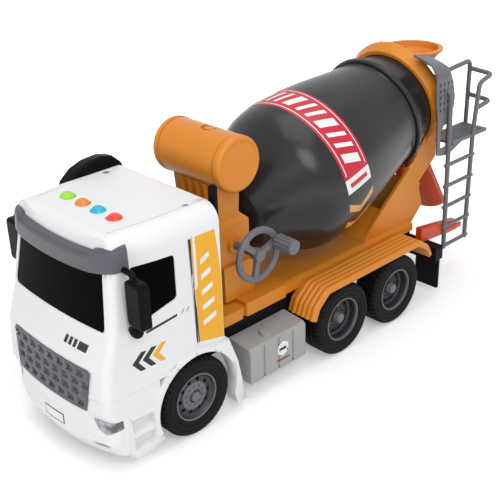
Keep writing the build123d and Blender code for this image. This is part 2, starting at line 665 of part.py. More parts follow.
def make_tyre(axle_x, face_y, side):
    """One tyre, with rounded shoulders, a centre groove and shoulder lugs."""
    half = TYRE_WIDTH / 2
    middle = side * (face_y - half)
    with BuildPart() as tyre:
        with BuildSketch(wheel_outline_plane(axle_x)):
            with BuildLine():
                Polyline(
                    (middle - half + 2, RIM_R), (middle - half, RIM_R + 3), (middle - half, TYRE_R - 4),
                    (middle - half + 1.5, TYRE_R - 1), (middle - half + 4, TYRE_R),
                    (middle - 1, TYRE_R), (middle - 1, TYRE_R - 1), (middle + 1, TYRE_R - 1), (middle + 1, TYRE_R),
                    (middle + half - 4, TYRE_R), (middle + half - 1.5, TYRE_R - 1), (middle + half, TYRE_R - 4),
                    (middle + half, RIM_R + 3), (middle + half - 2, RIM_R), close=True,
                )
            make_face()
        revolve(axis=Axis((axle_x, 0, TYRE_R), (0, 1, 0)))
        for edge in (-1, 1):
            with BuildSketch(Plane(origin=(axle_x, middle + edge * (half + 1), TYRE_R),
                                   x_dir=(1, 0, 0), z_dir=(0, -edge, 0))):
                with PolarLocations(TYRE_R, TREAD_LUGS):
                    Rectangle(2.4, 2.2)
            extrude(amount=7.0, mode=Mode.SUBTRACT)
    return tyre.part


def make_rim(axle_x, face_y, side, hub_reach, dish):
    """One rim: a dished disc with hand holes round a hub, bored for a press fit on the axle."""
    outer = side * (face_y - 1.2)
    inner = side * (face_y - TYRE_WIDTH + 1.2)
    disc = side * (face_y - dish)
    with BuildPart() as rim:
        with BuildSketch(wheel_outline_plane(axle_x)):
            with BuildLine():
                Polyline(
                    (inner, AXLE_R), (inner, HUB_R), (disc - side * 2.5, HUB_R), (disc - side * 2.5, RIM_R - 2.5),
                    (inner, RIM_R - 2.0), (inner, RIM_R), (outer, RIM_R), (outer, RIM_R - RIM_LIP),
                    (disc + side * 1.0, RIM_R - 2.5), (disc, RIM_R - 4.0), (disc + side * 0.8, HUB_R + 3.4),
                    (disc + side * 0.8, HUB_R - 0.4), (side * (face_y - hub_reach), HUB_R - 2.2),
                    (side * (face_y - hub_reach), 0), (side * (face_y - hub_reach - 3), 0),
                    (side * (face_y - hub_reach - 3), AXLE_R), close=True,
                )
            make_face()
        revolve(axis=Axis((axle_x, 0, TYRE_R), (0, 1, 0)))
        with BuildSketch(Plane(origin=(axle_x, disc + side * 3, TYRE_R), x_dir=(1, 0, 0), z_dir=(0, -side, 0))):
            with PolarLocations(RIM_R - 5.4, HAND_HOLES):
                Circle(1.5)
        extrude(amount=7.0, mode=Mode.SUBTRACT)
        # wheel nuts
        with BuildSketch(Plane(origin=(axle_x, disc + side * 0.6, TYRE_R), x_dir=(1, 0, 0), z_dir=(0, side, 0))):
            with PolarLocations(HUB_R + 1.5, HAND_HOLES, start_angle=18.0):
                RegularPolygon(0.9, 6)
        extrude(amount=1.0)
    return rim.part


WHEEL_SETS = {
    "front": (FRONT_FACE_Y, 2.0, 4.5),
    "middle": (REAR_FACE_Y, 3.5, 9.0),
    "rear": (REAR_FACE_Y, 3.5, 9.0),
}
for axle_name, (face_y, hub_reach, dish) in WHEEL_SETS.items():
    axle_x = AXLE_XS[axle_name]
    with BuildPart() as axle:
        with BuildSketch(side_plane(face_y - hub_reach - 3)):
            with Locations((axle_x, TYRE_R)):
                Circle(AXLE_R)
        extrude(amount=2 * (face_y - hub_reach - 3))
    axle.part.label = f"axle_{axle_name}"
    export_step(axle.part, f"parts/axle_{axle_name}.step")
    for side_name, side in (("left", 1), ("right", -1)):
        tyre_part = make_tyre(axle_x, face_y, side)
        tyre_part.label = f"tyre_{axle_name}_{side_name}"
        export_step(tyre_part, f"parts/tyre_{axle_name}_{side_name}.step")
        rim_part = make_rim(axle_x, face_y, side, hub_reach, dish)
        rim_part.label = f"rim_{axle_name}_{side_name}"
        export_step(rim_part, f"parts/rim_{axle_name}_{side_name}.step")

# %% Fuel tanks on both rails, with strap grooves and a filler cap
TANK_FRONT = ahead(-51.0)
TANK_REAR = ahead(-109.0)
TANK_BOTTOM = 15.0
TANK_TOP = 44.0
TANK_OUT = CAB_HALF_WIDTH

for side_name, side in (("left", 1), ("right", -1)):
    with BuildPart() as fuel_tank:
        with BuildSketch(front_plane(TANK_REAR)):
            with BuildLine():
                Polyline(
                    (side * RAIL_OUT, TANK_BOTTOM), (side * TANK_OUT, TANK_BOTTOM), (side * TANK_OUT, TANK_TOP - 2),
                    (side * (TANK_OUT - 2), TANK_TOP), (side * RAIL_OUT, TANK_TOP + 2), close=True,
                )
            make_face()
            fillet(vertices().filter_by(lambda v: abs(v.Y - side * 0) > RAIL_OUT + 1), 1.5)
        extrude(amount=TANK_FRONT - TANK_REAR)
        for strap_x in (TANK_REAR + 14, (TANK_FRONT + TANK_REAR) / 2, TANK_FRONT - 14):
            with BuildSketch(front_plane(strap_x - 1)):
                with Locations((side * (RAIL_OUT + TANK_OUT) / 2, (TANK_BOTTOM + TANK_TOP) / 2 + 2)):
                    Rectangle(TANK_OUT - RAIL_OUT + 2, TANK_TOP - TANK_BOTTOM + 10)
                    Rectangle(TANK_OUT - RAIL_OUT - 1.6, TANK_TOP - TANK_BOTTOM - 1.6, mode=Mode.SUBTRACT)
                with Locations((side * RAIL_OUT, (TANK_BOTTOM + TANK_TOP) / 2)):
                    Rectangle(8.0, TANK_TOP - TANK_BOTTOM + 20, mode=Mode.SUBTRACT)
            extrude(amount=2.0, mode=Mode.SUBTRACT)
        with BuildSketch(Plane.XY.offset(TANK_TOP - 1)):
            with Locations((TANK_FRONT - 24, side * (TANK_OUT - 9))):
                Circle(4.5)
        extrude(amount=4.0)
    fuel_tank.part.label = f"fuel_tank_{side_name}"
    export_step(fuel_tank.part, f"parts/fuel_tank_{side_name}.step")

# %% Rear bar with mud flaps
FLAP_X = DECK_REAR - 8.0
BAR_TOP = 49.0
BAR_HEIGHT = 13.0

with BuildPart() as rear_bumper:
    with BuildSketch(front_plane(FLAP_X - 4)):
        with Locations((0, BAR_TOP - BAR_HEIGHT / 2)):
            RectangleRounded(2 * REAR_FACE_Y, BAR_HEIGHT, 1.5)
    extrude(amount=CHASSIS_REAR - FLAP_X + 4)
    with BuildSketch(front_plane(FLAP_X - 2)):
        for side in (1, -1):
            with Locations((side * (REAR_FACE_Y - 13), 23.0)):
                RectangleRounded(24.0, 30.0, 1.0)
    extrude(amount=2.0)
rear_bumper.part.label = "rear_bumper"
export_step(rear_bumper.part, "parts/rear_bumper.step")

# %% Deck: a stepped plate on the rails, with a ribbed fender over each pair of rear wheels
FENDER_THICK = 2.4
RIB_R = 2.6
RIB_COUNT = 5
FENDER_OUT = 64.0
FENDER_TOP = 64.0
RIB_PITCH = (FENDER_OUT - RIB_R - DECK_HALF_WIDTH) / RIB_COUNT
FENDER_LINE = [
    (TANK_REAR - 4, 44.0), (TANK_REAR - 8, 54.0), (TANK_REAR - 20, FENDER_TOP), (ahead(-242.0), FENDER_TOP),
    (ahead(-254.0), 56.0), (ahead(-259.0), 47.0),
]

with BuildPart() as body_deck:
    with BuildSketch(front_plane(DECK_REAR)):
        with BuildLine():
            Polyline(
                (-DECK_HALF_WIDTH, RAIL_TOP), (DECK_HALF_WIDTH, RAIL_TOP), (DECK_HALF_WIDTH, DECK_TOP - 2),
                (DECK_HALF_WIDTH - 4, DECK_TOP), (4 - DECK_HALF_WIDTH, DECK_TOP), (-DECK_HALF_WIDTH, DECK_TOP - 2),
                close=True,
            )
        make_face()
        with Locations((0, RAIL_TOP)):
            Rectangle(2 * RAIL_IN, 2 * (DECK_TOP - 3 - RAIL_TOP), mode=Mode.SUBTRACT)
    extrude(amount=DECK_FRONT - DECK_REAR)
    # stepped blocks at the front, with a gap between them
    with BuildSketch(Plane.XY.offset(RAIL_TOP)):
        with Locations((ahead(-48.0), 0)):
            RectangleRounded(28.0, 2 * DECK_HALF_WIDTH + 6, 2.0)
    extrude(amount=DECK_TOP + 1 - RAIL_TOP)
    with BuildSketch(Plane.XY.offset(RAIL_TOP)):
        with Locations((ahead(-86.0), 0)):
            RectangleRounded(42.0, 2 * DECK_HALF_WIDTH + 6, 2.0)
    extrude(amount=DECK_TOP + 3 - RAIL_TOP)
    with BuildSketch(Plane.XY.offset(RAIL_TOP - 1)):
        with Locations((ahead(-75.0), 0)):
            Rectangle(DECK_FRONT - DECK_REAR, 2 * RAIL_IN)
    extrude(amount=DECK_TOP - 3 - RAIL_TOP + 1, mode=Mode.SUBTRACT)
    # fenders: one wavy section swept along the line over both rear wheels
    with BuildLine() as fender_route:
        FilletPolyline(*[(x, DECK_HALF_WIDTH - 2, z) for x, z in FENDER_LINE], radius=7.0)
    with BuildSketch(Plane(origin=fender_route.line @ 0, x_dir=(0, 1, 0), z_dir=fender_route.line % 0)):
        width = FENDER_OUT - DECK_HALF_WIDTH + 2
        with Locations((width / 2, FENDER_THICK / 2)):
            Rectangle(width, FENDER_THICK)
        for rib in range(RIB_COUNT):
            with Locations((2 + RIB_PITCH * (rib + 1), 0)):
                Circle(RIB_R)
    sweep(path=fender_route.line, transition=Transition.RIGHT)
    mirror(about=Plane.XZ)
body_deck.part.label = "body_deck"
export_step(body_deck.part, "parts/body_deck.step")

# %% Drum: two turned shells that meet at the seam ring, open at the mouth
SEAM_RING_R = SEAM_R + 2.5
RING_WIDTH = 4.0
DRUM_SHAFT_R = 3.0
MOUTH_LIP = 4.0

with BuildPart() as drum_shell_front:
    with BuildSketch(DRUM_SIDE):
        with BuildLine():
            cheek = Line((DRUM_FRONT_S, 0), (DRUM_FRONT_S, DRUM_FRONT_R - 4))
            nose_bend = ThreePointArc(
                cheek @ 1, (DRUM_FRONT_S + 1.2, DRUM_FRONT_R - 1.0), (DRUM_FRONT_S + 4, DRUM_FRONT_R + 3))
            cone = Line(nose_bend @ 1, (SHOULDER_S, SHOULDER_R))
            belly = Spline(cone @ 1, (BELLY_S, BELLY_R), (SEAM_S - RING_WIDTH, SEAM_R), tangents=(
                (SHOULDER_S - DRUM_FRONT_S - 4, SHOULDER_R - DRUM_FRONT_R - 3),
                (SEAM_S - BELLY_S, SEAM_R - BELLY_R),
            ), tangent_scalars=(0.9, 0.9))
            Polyline(belly @ 1, (SEAM_S, SEAM_R), (SEAM_S, SEAM_R - DRUM_WALL))
            inner = Spline((SEAM_S, SEAM_R - DRUM_WALL), (BELLY_S, BELLY_R - DRUM_WALL),
                           (SHOULDER_S + 1, SHOULDER_R - DRUM_WALL), tangents=(
                (BELLY_S - SEAM_S, BELLY_R - SEAM_R),
                (DRUM_FRONT_S + 4 - SHOULDER_S, DRUM_FRONT_R + 3 - SHOULDER_R),
            ), tangent_scalars=(0.9, 0.9))
            Polyline(
                inner @ 1, (DRUM_FRONT_S + 5, DRUM_FRONT_R + 1.5), (DRUM_FRONT_S + DRUM_WALL + 1, DRUM_FRONT_R - 5),
                (DRUM_FRONT_S + DRUM_WALL + 1, 0), cheek @ 0,
            )
        make_face()
    revolve(axis=DRUM_AXIS)
drum_shell_front.part.label = "drum_shell_front"
export_step(drum_shell_front.part, "parts/drum_shell_front.step")

with BuildPart() as drum_shell_rear:
    add(turned(DRUM_SIDE, DRUM_AXIS, [
        (SEAM_S, SEAM_R - DRUM_WALL), (SEAM_S, SEAM_RING_R - 1), (SEAM_S + 1, SEAM_RING_R),
        (SEAM_S + RING_WIDTH, SEAM_RING_R), (SEAM_S + RING_WIDTH + 1, SEAM_R - 0.5), (NECK_S, NECK_R),
        (MOUTH_S, NECK_R), (MOUTH_S, NECK_R - MOUTH_LIP), (MOUTH_S - DRUM_WALL, NECK_R - MOUTH_LIP),
        (MOUTH_S - DRUM_WALL, NECK_R - DRUM_WALL), (NECK_S, NECK_R - DRUM_WALL),
        (SEAM_S + RING_WIDTH, SEAM_R - 0.5 - DRUM_WALL),
    ]))
drum_shell_rear.part.label = "drum_shell_rear"
export_step(drum_shell_rear.part, "parts/drum_shell_rear.step")

# %% Drive: the hand wheel's shaft turns the drum's shaft through a pair of bevel gears
CRANK_X = ahead(-68.0)
CRANK_Z = DRUM_Z + (DRUM_X - CRANK_X) * tan(DRUM_TILT)
APEX_S = (DRUM_X - CRANK_X) / cos(DRUM_TILT)
GEAR_TEETH = 12
GEAR_PITCH_R = 9.0        # also the distance from the apex, since both gears are alike
GEAR_FACE = 3.5           # depth of the gear along its axis
TOOTH_ABOVE = 1.1
TOOTH_BELOW = 1.5
TOOTH_SHARE = 0.40        # share of the pitch that a tooth fills at the pitch line


def bevel_gear(apex_plane, first_tooth):
    """A bevel gear on the plane's z axis, its cone's tip on the plane's origin."""
    pitch_angle = 360.0 / GEAR_TEETH
    tooth = pitch_angle * TOOTH_SHARE
    with BuildPart() as gear:
        for reach in (GEAR_PITCH_R - GEAR_FACE, GEAR_PITCH_R):
            scale_here = reach / GEAR_PITCH_R
            with BuildSketch(apex_plane.offset(reach)):
                with BuildLine():
                    corners = []
                    for index in range(GEAR_TEETH):
                        angle = first_tooth + index * pitch_angle
                        for radius, share in ((-TOOTH_BELOW, -0.75), (TOOTH_ABOVE, -0.3),
                                              (TOOTH_ABOVE, 0.3), (-TOOTH_BELOW, 0.75)):
                            at = radians(angle + share * tooth)
                            length = (GEAR_PITCH_R + radius) * scale_here
                            corners.append((length * cos(at), length * sin(at)))
                    Polyline(*corners, close=True)
                make_face()
        loft(ruled=True)
    return gear.part


apex_x, apex_z = on_drum_axis(APEX_S)
drum_gear_plane = Plane(origin=(apex_x, 0, apex_z), x_dir=(0, 1, 0), z_dir=DRUM_AXIS.direction)
crank_gear_plane = Plane(origin=(apex_x, 0, apex_z), x_dir=DRUM_AXIS.direction, z_dir=(0, 1, 0))

with BuildPart() as drum_shaft:
    add(bevel_gear(drum_gear_plane, 0.0))
    with BuildSketch(drum_gear_plane.offset(GEAR_PITCH_R)):
        Circle(DRUM_SHAFT_R)
    extrude(amount=DRUM_FRONT_S - APEX_S - GEAR_PITCH_R)
    with BuildSketch(drum_plane(DRUM_FRONT_S)):
        Circle(14.0)
    extrude(amount=-2.0)
drum_shaft.part.label = "drum_shaft"
export_step(drum_shaft.part, "parts/drum_shaft.step")

CRANK_R = 3.0
WHEEL_Y = 51.0
WHEEL_R = 20.8
WHEEL_RIM_R = 2.6
KNOB_R = 5.4
KNOB_LENGTH = 16.0
KNOB_ANGLE = radians(162.0)
KNOB_PIN_R = 2.0
knob_x = CRANK_X + (WHEEL_R - WHEEL_RIM_R) * cos(KNOB_ANGLE)
knob_z = CRANK_Z + (WHEEL_R - WHEEL_RIM_R) * sin(KNOB_ANGLE)

with BuildPart() as crank_shaft:
    add(bevel_gear(crank_gear_plane, 180.0 / GEAR_TEETH))
    with BuildSketch(side_plane(WHEEL_Y)):
        with Locations((CRANK_X, CRANK_Z)):
            Circle(CRANK_R)
    extrude(amount=WHEEL_Y - GEAR_PITCH_R)
crank_shaft.part.label = "crank_shaft"
export_step(crank_shaft.part, "parts/crank_shaft.step")

SPOKES = 3
SPOKE_ANGLE = 42.0

RIM_HALF = 2.2

with BuildPart() as hand_wheel:
    rim_in = WHEEL_R - 2 * WHEEL_RIM_R
    add(turned(Plane(origin=(CRANK_X, 0, CRANK_Z), x_dir=(0, 1, 0), z_dir=(1, 0, 0)),
               Axis((CRANK_X, 0, CRANK_Z), (0, 1, 0)), [
        (WHEEL_Y - RIM_HALF, rim_in + 1.8), (WHEEL_Y - 1, rim_in + 0.4), (WHEEL_Y + 1, rim_in + 0.4),
        (WHEEL_Y + RIM_HALF, rim_in + 1.8), (WHEEL_Y + RIM_HALF, WHEEL_R - 1.4), (WHEEL_Y + 1, WHEEL_R),
        (WHEEL_Y - 1, WHEEL_R), (WHEEL_Y - RIM_HALF, WHEEL_R - 1.4),
    ]))
    # spokes and hub, bored for the shaft
    with BuildSketch(Plane(origin=(CRANK_X, WHEEL_Y + 1.4, CRANK_Z), x_dir=(1, 0, 0), z_dir=(0, -1, 0))):
        with PolarLocations((WHEEL_R - WHEEL_RIM_R) / 2, SPOKES, start_angle=SPOKE_ANGLE):
            Rectangle(WHEEL_R - WHEEL_RIM_R, 4.4)
    extrude(amount=2.8)
    with BuildSketch(Plane(origin=(CRANK_X, WHEEL_Y + 3.2, CRANK_Z), x_dir=(1, 0, 0), z_dir=(0, -1, 0))):
        Circle(4.6)
    extrude(amount=6.4)
    with BuildSketch(Plane(origin=(CRANK_X, WHEEL_Y, CRANK_Z), x_dir=(1, 0, 0), z_dir=(0, -1, 0))):
        Circle(CRANK_R)
    extrude(amount=6.4, mode=Mode.SUBTRACT)
    # the pin that the knob spins on, with a snap head
    with BuildSketch(side_plane(WHEEL_Y + KNOB_LENGTH)):
        with Locations((knob_x, knob_z)):
            Circle(KNOB_PIN_R)
    extrude(amount=KNOB_LENGTH)
hand_wheel.part.label = "hand_wheel"
export_step(hand_wheel.part, "parts/hand_wheel.step")

KNOB_RIBS = 12
KNOB_SEAT_Y = WHEEL_Y + 2.2 + SKIN_GAP

with BuildPart() as crank_knob:
    knob_length = WHEEL_Y + KNOB_LENGTH + 3 - KNOB_SEAT_Y
    with BuildSketch(Plane(origin=(knob_x, KNOB_SEAT_Y, knob_z), x_dir=(1, 0, 0), z_dir=(0, 1, 0))):
        Circle(KNOB_R - 0.5)
        with PolarLocations(KNOB_R - 0.6, KNOB_RIBS):
            Circle(0.8)
    extrude(amount=knob_length - 1.6)
    with BuildSketch(Plane(origin=(knob_x, KNOB_SEAT_Y + knob_length - 1.6, knob_z), x_dir=(1, 0, 0), z_dir=(0, 1, 0))):
        Circle(KNOB_R)
    extrude(amount=1.6)
    with BuildSketch(Plane(origin=(knob_x, KNOB_SEAT_Y, knob_z), x_dir=(1, 0, 0), z_dir=(0, 1, 0))):
        Circle(KNOB_PIN_R + BEARING_GAP)
    extrude(amount=WHEEL_Y + KNOB_LENGTH + SKIN_GAP - KNOB_SEAT_Y, mode=Mode.SUBTRACT)
crank_knob.part.label = "crank_knob"
export_step(crank_knob.part, "parts/crank_knob.step")

# %% Pedestal: holds the drum's front bearing, the crank's bearing and the water tank
PED_FRONT = CRANK_X + 13.0
PED_REAR = CRANK_X - 15.5
PED_HALF = 26.0
PED_WALL = 3.0
LEG_TOP = 160.0
BOX_TOP = 132.0
TANK_Z = 176.0
TANK_R = 20.0

with BuildPart() as drum_pedestal:
    # front view: a wide foot, a gearbox and two legs that taper to the tank
    with BuildSketch(front_plane(PED_REAR)):
        with BuildLine():
            Polyline(
                (-PED_HALF - 4, DECK_TOP + 3), (PED_HALF + 4, DECK_TOP + 3), (PED_HALF + 3, 98.0), (PED_HALF, 98.0),
                (PED_HALF, BOX_TOP - 3), (PED_HALF - 4, BOX_TOP), (PED_HALF - 3, LEG_TOP), (3 - PED_HALF, LEG_TOP),
                (4 - PED_HALF, BOX_TOP), (-PED_HALF, BOX_TOP - 3), (-PED_HALF, 98.0), (-PED_HALF - 3, 98.0),
                close=True,
            )
        make_face()
    extrude(amount=PED_FRONT - PED_REAR)
    # the legs narrow in side view
    with BuildSketch(side_plane(PED_HALF + 10)):
        with BuildLine():
            Polyline(
                (PED_REAR, DECK_TOP + 3), (PED_FRONT, DECK_TOP + 3), (PED_FRONT, BOX_TOP), (PED_FRONT - 3, BOX_TOP + 4),
                (PED_FRONT - 1, LEG_TOP + 5), (PED_REAR + 5, LEG_TOP + 5), (PED_REAR + 6, BOX_TOP + 3),
                (PED_REAR, BOX_TOP - 3), close=True,
            )
        make_face()
    extrude(amount=2 * PED_HALF + 20, mode=Mode.INTERSECT)
    # hollow foot and gearbox, open below, and a hollow between the legs, open to the rear
    with BuildSketch(Plane.XY.offset(DECK_TOP)):
        with Locations(((PED_FRONT + PED_REAR) / 2, 0)):
            Rectangle(PED_FRONT - PED_REAR - 2 * PED_WALL, 2 * (PED_HALF - PED_WALL))
    extrude(amount=BOX_TOP - PED_WALL - DECK_TOP, mode=Mode.SUBTRACT)
    with BuildSketch(front_plane(PED_REAR - 1)):
        with BuildLine():
            Polyline(
                (-PED_HALF + 9, BOX_TOP + 4), (PED_HALF - 9, BOX_TOP + 4), (PED_HALF - 9, LEG_TOP + 9),
                (9 - PED_HALF, LEG_TOP + 9), close=True,
            )
        make_face()
    extrude(amount=PED_FRONT - PED_REAR - PED_WALL - 3, mode=Mode.SUBTRACT)
    # upright ribs on the front web
    for rib_y in (-12.0, -4.0, 4.0, 12.0):
        add(slab_y(rib_y - 1, rib_y + 1, [
            (PED_FRONT - 4, BOX_TOP + 2), (PED_FRONT - 0.5, BOX_TOP + 2), (PED_FRONT + 1, LEG_TOP), (PED_FRONT - 4, LEG_TOP),
        ]))
    # cradle for the tank
    with BuildSketch(side_plane(PED_HALF)):
        with Locations((CRANK_X, TANK_Z)):
            Circle(TANK_R)
    extrude(amount=2 * PED_HALF, mode=Mode.SUBTRACT)
    # bearings
    with BuildSketch(side_plane(PED_HALF + 3)):
        with Locations((CRANK_X, CRANK_Z)):
            Circle(CRANK_R + 3.5)
    extrude(amount=5.0)
    with BuildSketch(side_plane(PED_HALF + 4)):
        with Locations((CRANK_X, CRANK_Z)):
            Circle(CRANK_R + BEARING_GAP)
    extrude(amount=12.0, mode=Mode.SUBTRACT)
    with BuildSketch(drum_gear_plane.offset(GEAR_PITCH_R + 1.0)):
        Circle(DRUM_SHAFT_R + BEARING_GAP)
    extrude(amount=14.0, mode=Mode.SUBTRACT)
drum_pedestal.part.label = "drum_pedestal"
export_step(drum_pedestal.part, "parts/drum_pedestal.step")

# %% Water tank with pressed end caps
TANK_HALF = 35.5
CAP_LENGTH = 7.0

with BuildPart() as water_tank:
    with BuildSketch(side_plane(TANK_HALF - CAP_LENGTH)):
        with Locations((CRANK_X, TANK_Z)):
            Circle(TANK_R)
    extrude(amount=2 * (TANK_HALF - CAP_LENGTH))
    # filler: a dished pad with a small cap
    with BuildSketch(Plane.XY.offset(TANK_Z + TANK_R + 3)):
        with Locations((CRANK_X - 2, 4.0)):
            Circle(6.5)
    extrude(amount=-5.0, mode=Mode.SUBTRACT)
    with BuildSketch(Plane.XY.offset(TANK_Z + TANK_R - 4)):
        with Locations((CRANK_X - 2, 4.0)):
            Circle(4.0)
    extrude(amount=3.4)
water_tank.part.label = "water_tank"
export_step(water_tank.part, "parts/water_tank.step")

for side_name, side in (("left", 1), ("right", -1)):
    with BuildPart() as tank_cap:
        seam = side * (TANK_HALF - CAP_LENGTH)
        tip = side * TANK_HALF
        with BuildSketch(Plane(origin=(CRANK_X, 0, TANK_Z), x_dir=(0, 1, 0), z_dir=(1, 0, 0))):
            with BuildLine():
                Polyline(
                    (seam, 0), (seam, TANK_R - 0.5), (seam + side, TANK_R - 0.5), (seam + side, TANK_R + 0.4),
                    (tip - side * 3, TANK_R + 0.4),
                )
                ThreePointArc((tip - side * 3, TANK_R + 0.4), (tip - side * 0.9, TANK_R - 0.6), (tip, TANK_R - 2.6))
                Polyline((tip, TANK_R - 2.6), (tip - side * 0.6, TANK_R - 3.4), (tip - side * 0.2, 0), (seam, 0))
            make_face()
        revolve(axis=Axis((CRANK_X, 0, TANK_Z), (0, 1, 0)))
    tank_cap.part.label = f"tank_cap_{side_name}"
    export_step(tank_cap.part, f"parts/tank_cap_{side_name}.step")

# %% Rear frame: two side plates from the deck to a collar round the drum's neck
COLLAR_IN = NECK_R + SKIN_GAP
COLLAR_FRONT_S = 99.0
COLLAR_REAR_S = 110.0
COLLAR_R = 49.5
PLATE_OUT = 34.0
PLATE_THICK = 3.0
PLATFORM_FRONT = ahead(-299.0)     # the plates' rear edges meet the platform here
PLATE_OUTLINE = [
    (ahead(-206.0), DECK_TOP), (ahead(-222.0), 84.0), (ahead(-262.0), 116.0), (ahead(-276.0), 146.0),
    (ahead(-294.0), 152.0), (PLATFORM_FRONT, 136.0), (PLATFORM_FRONT, 118.0), (ahead(-276.0), 100.0),
    (ahead(-283.0), 78.0),
    (ahead(-266.0), RAIL_TOP + 2), (ahead(-266.0), DECK_TOP),
]

drum_space = turned(DRUM_SIDE, DRUM_AXIS, [
    (SEAM_S - 40, 0), (SEAM_S - 40, SEAM_R + 9), (SEAM_S - 2, SEAM_RING_R + 3), (SEAM_S + RING_WIDTH + 2, SEAM_RING_R + 3),
    (COLLAR_FRONT_S, COLLAR_IN), (MOUTH_S + 8, COLLAR_IN), (MOUTH_S + 8, 0),
])

with BuildPart() as rear_frame:
    add(slab_y(PLATE_OUT - PLATE_THICK, PLATE_OUT, PLATE_OUTLINE))
    mirror(about=Plane.XZ)
    # a sloping front web under the drum ties the plates together
    add(slab_y(-PLATE_OUT, PLATE_OUT, [
        (ahead(-206.0), DECK_TOP), (ahead(-232.0), 88.0), (ahead(-235.0), 86.0), (ahead(-212.0), DECK_TOP),
    ]))
    add(slab_y(-PLATE_OUT, PLATE_OUT, [
        (ahead(-262.0), DECK_TOP), (ahead(-276.0), 101.0), (ahead(-279.0), 99.0), (ahead(-266.0), DECK_TOP),
    ]))
    add(drum_space, mode=Mode.SUBTRACT)
    # collar with a flared lip
    add(turned(DRUM_SIDE, DRUM_AXIS, [
        (COLLAR_FRONT_S, COLLAR_IN), (COLLAR_FRONT_S, COLLAR_IN + 3), (COLLAR_REAR_S - 3, COLLAR_R),
        (COLLAR_REAR_S, COLLAR_R), (COLLAR_REAR_S, COLLAR_IN),
    ]))
rear_frame.part.label = "rear_frame"
export_step(rear_frame.part, "parts/rear_frame.step")

# %% Feed hopper: a funnel with a bent throat that points into the drum's mouth
HOPPER_X = ahead(-304.5)
HOPPER_TOP = 206.0
HOPPER_R = 24.0
HOPPER_WALL = 1.8
THROAT_R = 10.0
THROAT_BEND = 12.0
FUNNEL_LOW = 186.0
throat_x, throat_z = on_drum_axis(MOUTH_S - 2.0, -1.0)


def hopper_form(shrink, extra):
    """The hopper's form from rim to throat, shrunk by the wall and lengthened where it is cut out."""
    upright = Plane(origin=(HOPPER_X, 0, 0), x_dir=(0, 0, 1), z_dir=(0, 1, 0))
    with BuildPart() as form:
        add(turned(upright, Axis((HOPPER_X, 0, 0), (0, 0, 1)), [
            (FUNNEL_LOW - 2, 0), (FUNNEL_LOW - 2, THROAT_R - 1.7 - shrink),
            (HOPPER_TOP - 5, HOPPER_R - 1.5 - shrink), (HOPPER_TOP + extra, HOPPER_R - shrink), (HOPPER_TOP + extra, 0),
        ]))
        add(rod([
            (HOPPER_X, 0, FUNNEL_LOW + 3), (HOPPER_X, 0, FUNNEL_LOW - 14),
            (throat_x + extra, 0, throat_z - extra * 0.3),
        ], THROAT_R - shrink, THROAT_BEND))
    return form.part


with BuildPart() as feed_hopper:
    add(hopper_form(0, 0))
    with BuildSketch(Plane.XY.offset(HOPPER_TOP - 2)):
        with Locations((HOPPER_X, 0)):
            Circle(HOPPER_R + 1.6)
    extrude(amount=2.0)
    # a saddle seats the funnel on the back of the collar
    add(slab_y(-12, 12, [
        on_drum_axis(COLLAR_REAR_S, COLLAR_IN + 1), on_drum_axis(COLLAR_REAR_S, COLLAR_R - 1),
        on_drum_axis(COLLAR_REAR_S + 4, COLLAR_R - 3), (HOPPER_X + HOPPER_R - 1, HOPPER_TOP),
        (HOPPER_X + HOPPER_R - 1, HOPPER_TOP - 4), on_drum_axis(COLLAR_REAR_S, NECK_R - MOUTH_LIP),
    ]))
    add(hopper_form(HOPPER_WALL, 2), mode=Mode.SUBTRACT)
feed_hopper.part.label = "feed_hopper"
export_step(feed_hopper.part, "parts/feed_hopper.step")

# %% Discharge chute: a tapered trough that swings on an upright pin
CHUTE_PIVOT_X = ahead(-297.0)
PIVOT_R = 2.5
POST_R = 5.0
POST_TOP = 101.0
CHUTE_WALL = 1.8
CHUTE_HALF = 15.0
CHUTE_TOP = (ahead(-306.0), 120.0)
CHUTE_END = (ahead(-346.0), 72.0)
CHUTE_DEPTH = 13.0
CHUTE_EDGE = 3.0
BRACKET_HALF = 8.0
BRACKET_TOP = 62.0

chute_run = Vector(CHUTE_END[0] - CHUTE_TOP[0], 0, CHUTE_END[1] - CHUTE_TOP[1])
CHUTE_PLANE = Plane(origin=(CHUTE_TOP[0], 0, CHUTE_TOP[1]), x_dir=(0, 1, 0), z_dir=chute_run)


def trough(shrink, extra):
    """The chute's form, shrunk by its wall and lengthened where it is cut out."""
    with BuildPart() as form:
        for along, half in ((-extra, CHUTE_HALF + 1), (chute_run.length + extra, CHUTE_HALF - 3)):
            with BuildSketch(CHUTE_PLANE.offset(along)):
                with BuildLine():
                    floor = ThreePointArc(
                        (shrink - half, CHUTE_EDGE), (0, CHUTE_DEPTH - shrink), (half - shrink, CHUTE_EDGE))
                    Polyline(floor @ 1, (half - shrink, -extra), (shrink - half, -extra), floor @ 0)
                make_face()
        loft(ruled=True)
    return form.part


with BuildPart() as discharge_chute:
    add(trough(0, 0))
    # boss under the top end, bored for the pivot pin
    with BuildSketch(Plane.XY.offset(POST_TOP + SKIN_GAP)):
        with Locations((CHUTE_PIVOT_X, 0)):
            Circle(POST_R)
    extrude(amount=CHUTE_TOP[1] - POST_TOP - CHUTE_DEPTH + 3)
    add(trough(CHUTE_WALL, 1), mode=Mode.SUBTRACT)
    with BuildSketch(Plane.XY.offset(POST_TOP)):
        with Locations((CHUTE_PIVOT_X, 0)):
            Circle(PIVOT_R + BEARING_GAP)
    extrude(amount=7.0, mode=Mode.SUBTRACT)
discharge_chute.part.label = "discharge_chute"
export_step(discharge_chute.part, "parts/discharge_chute.step")

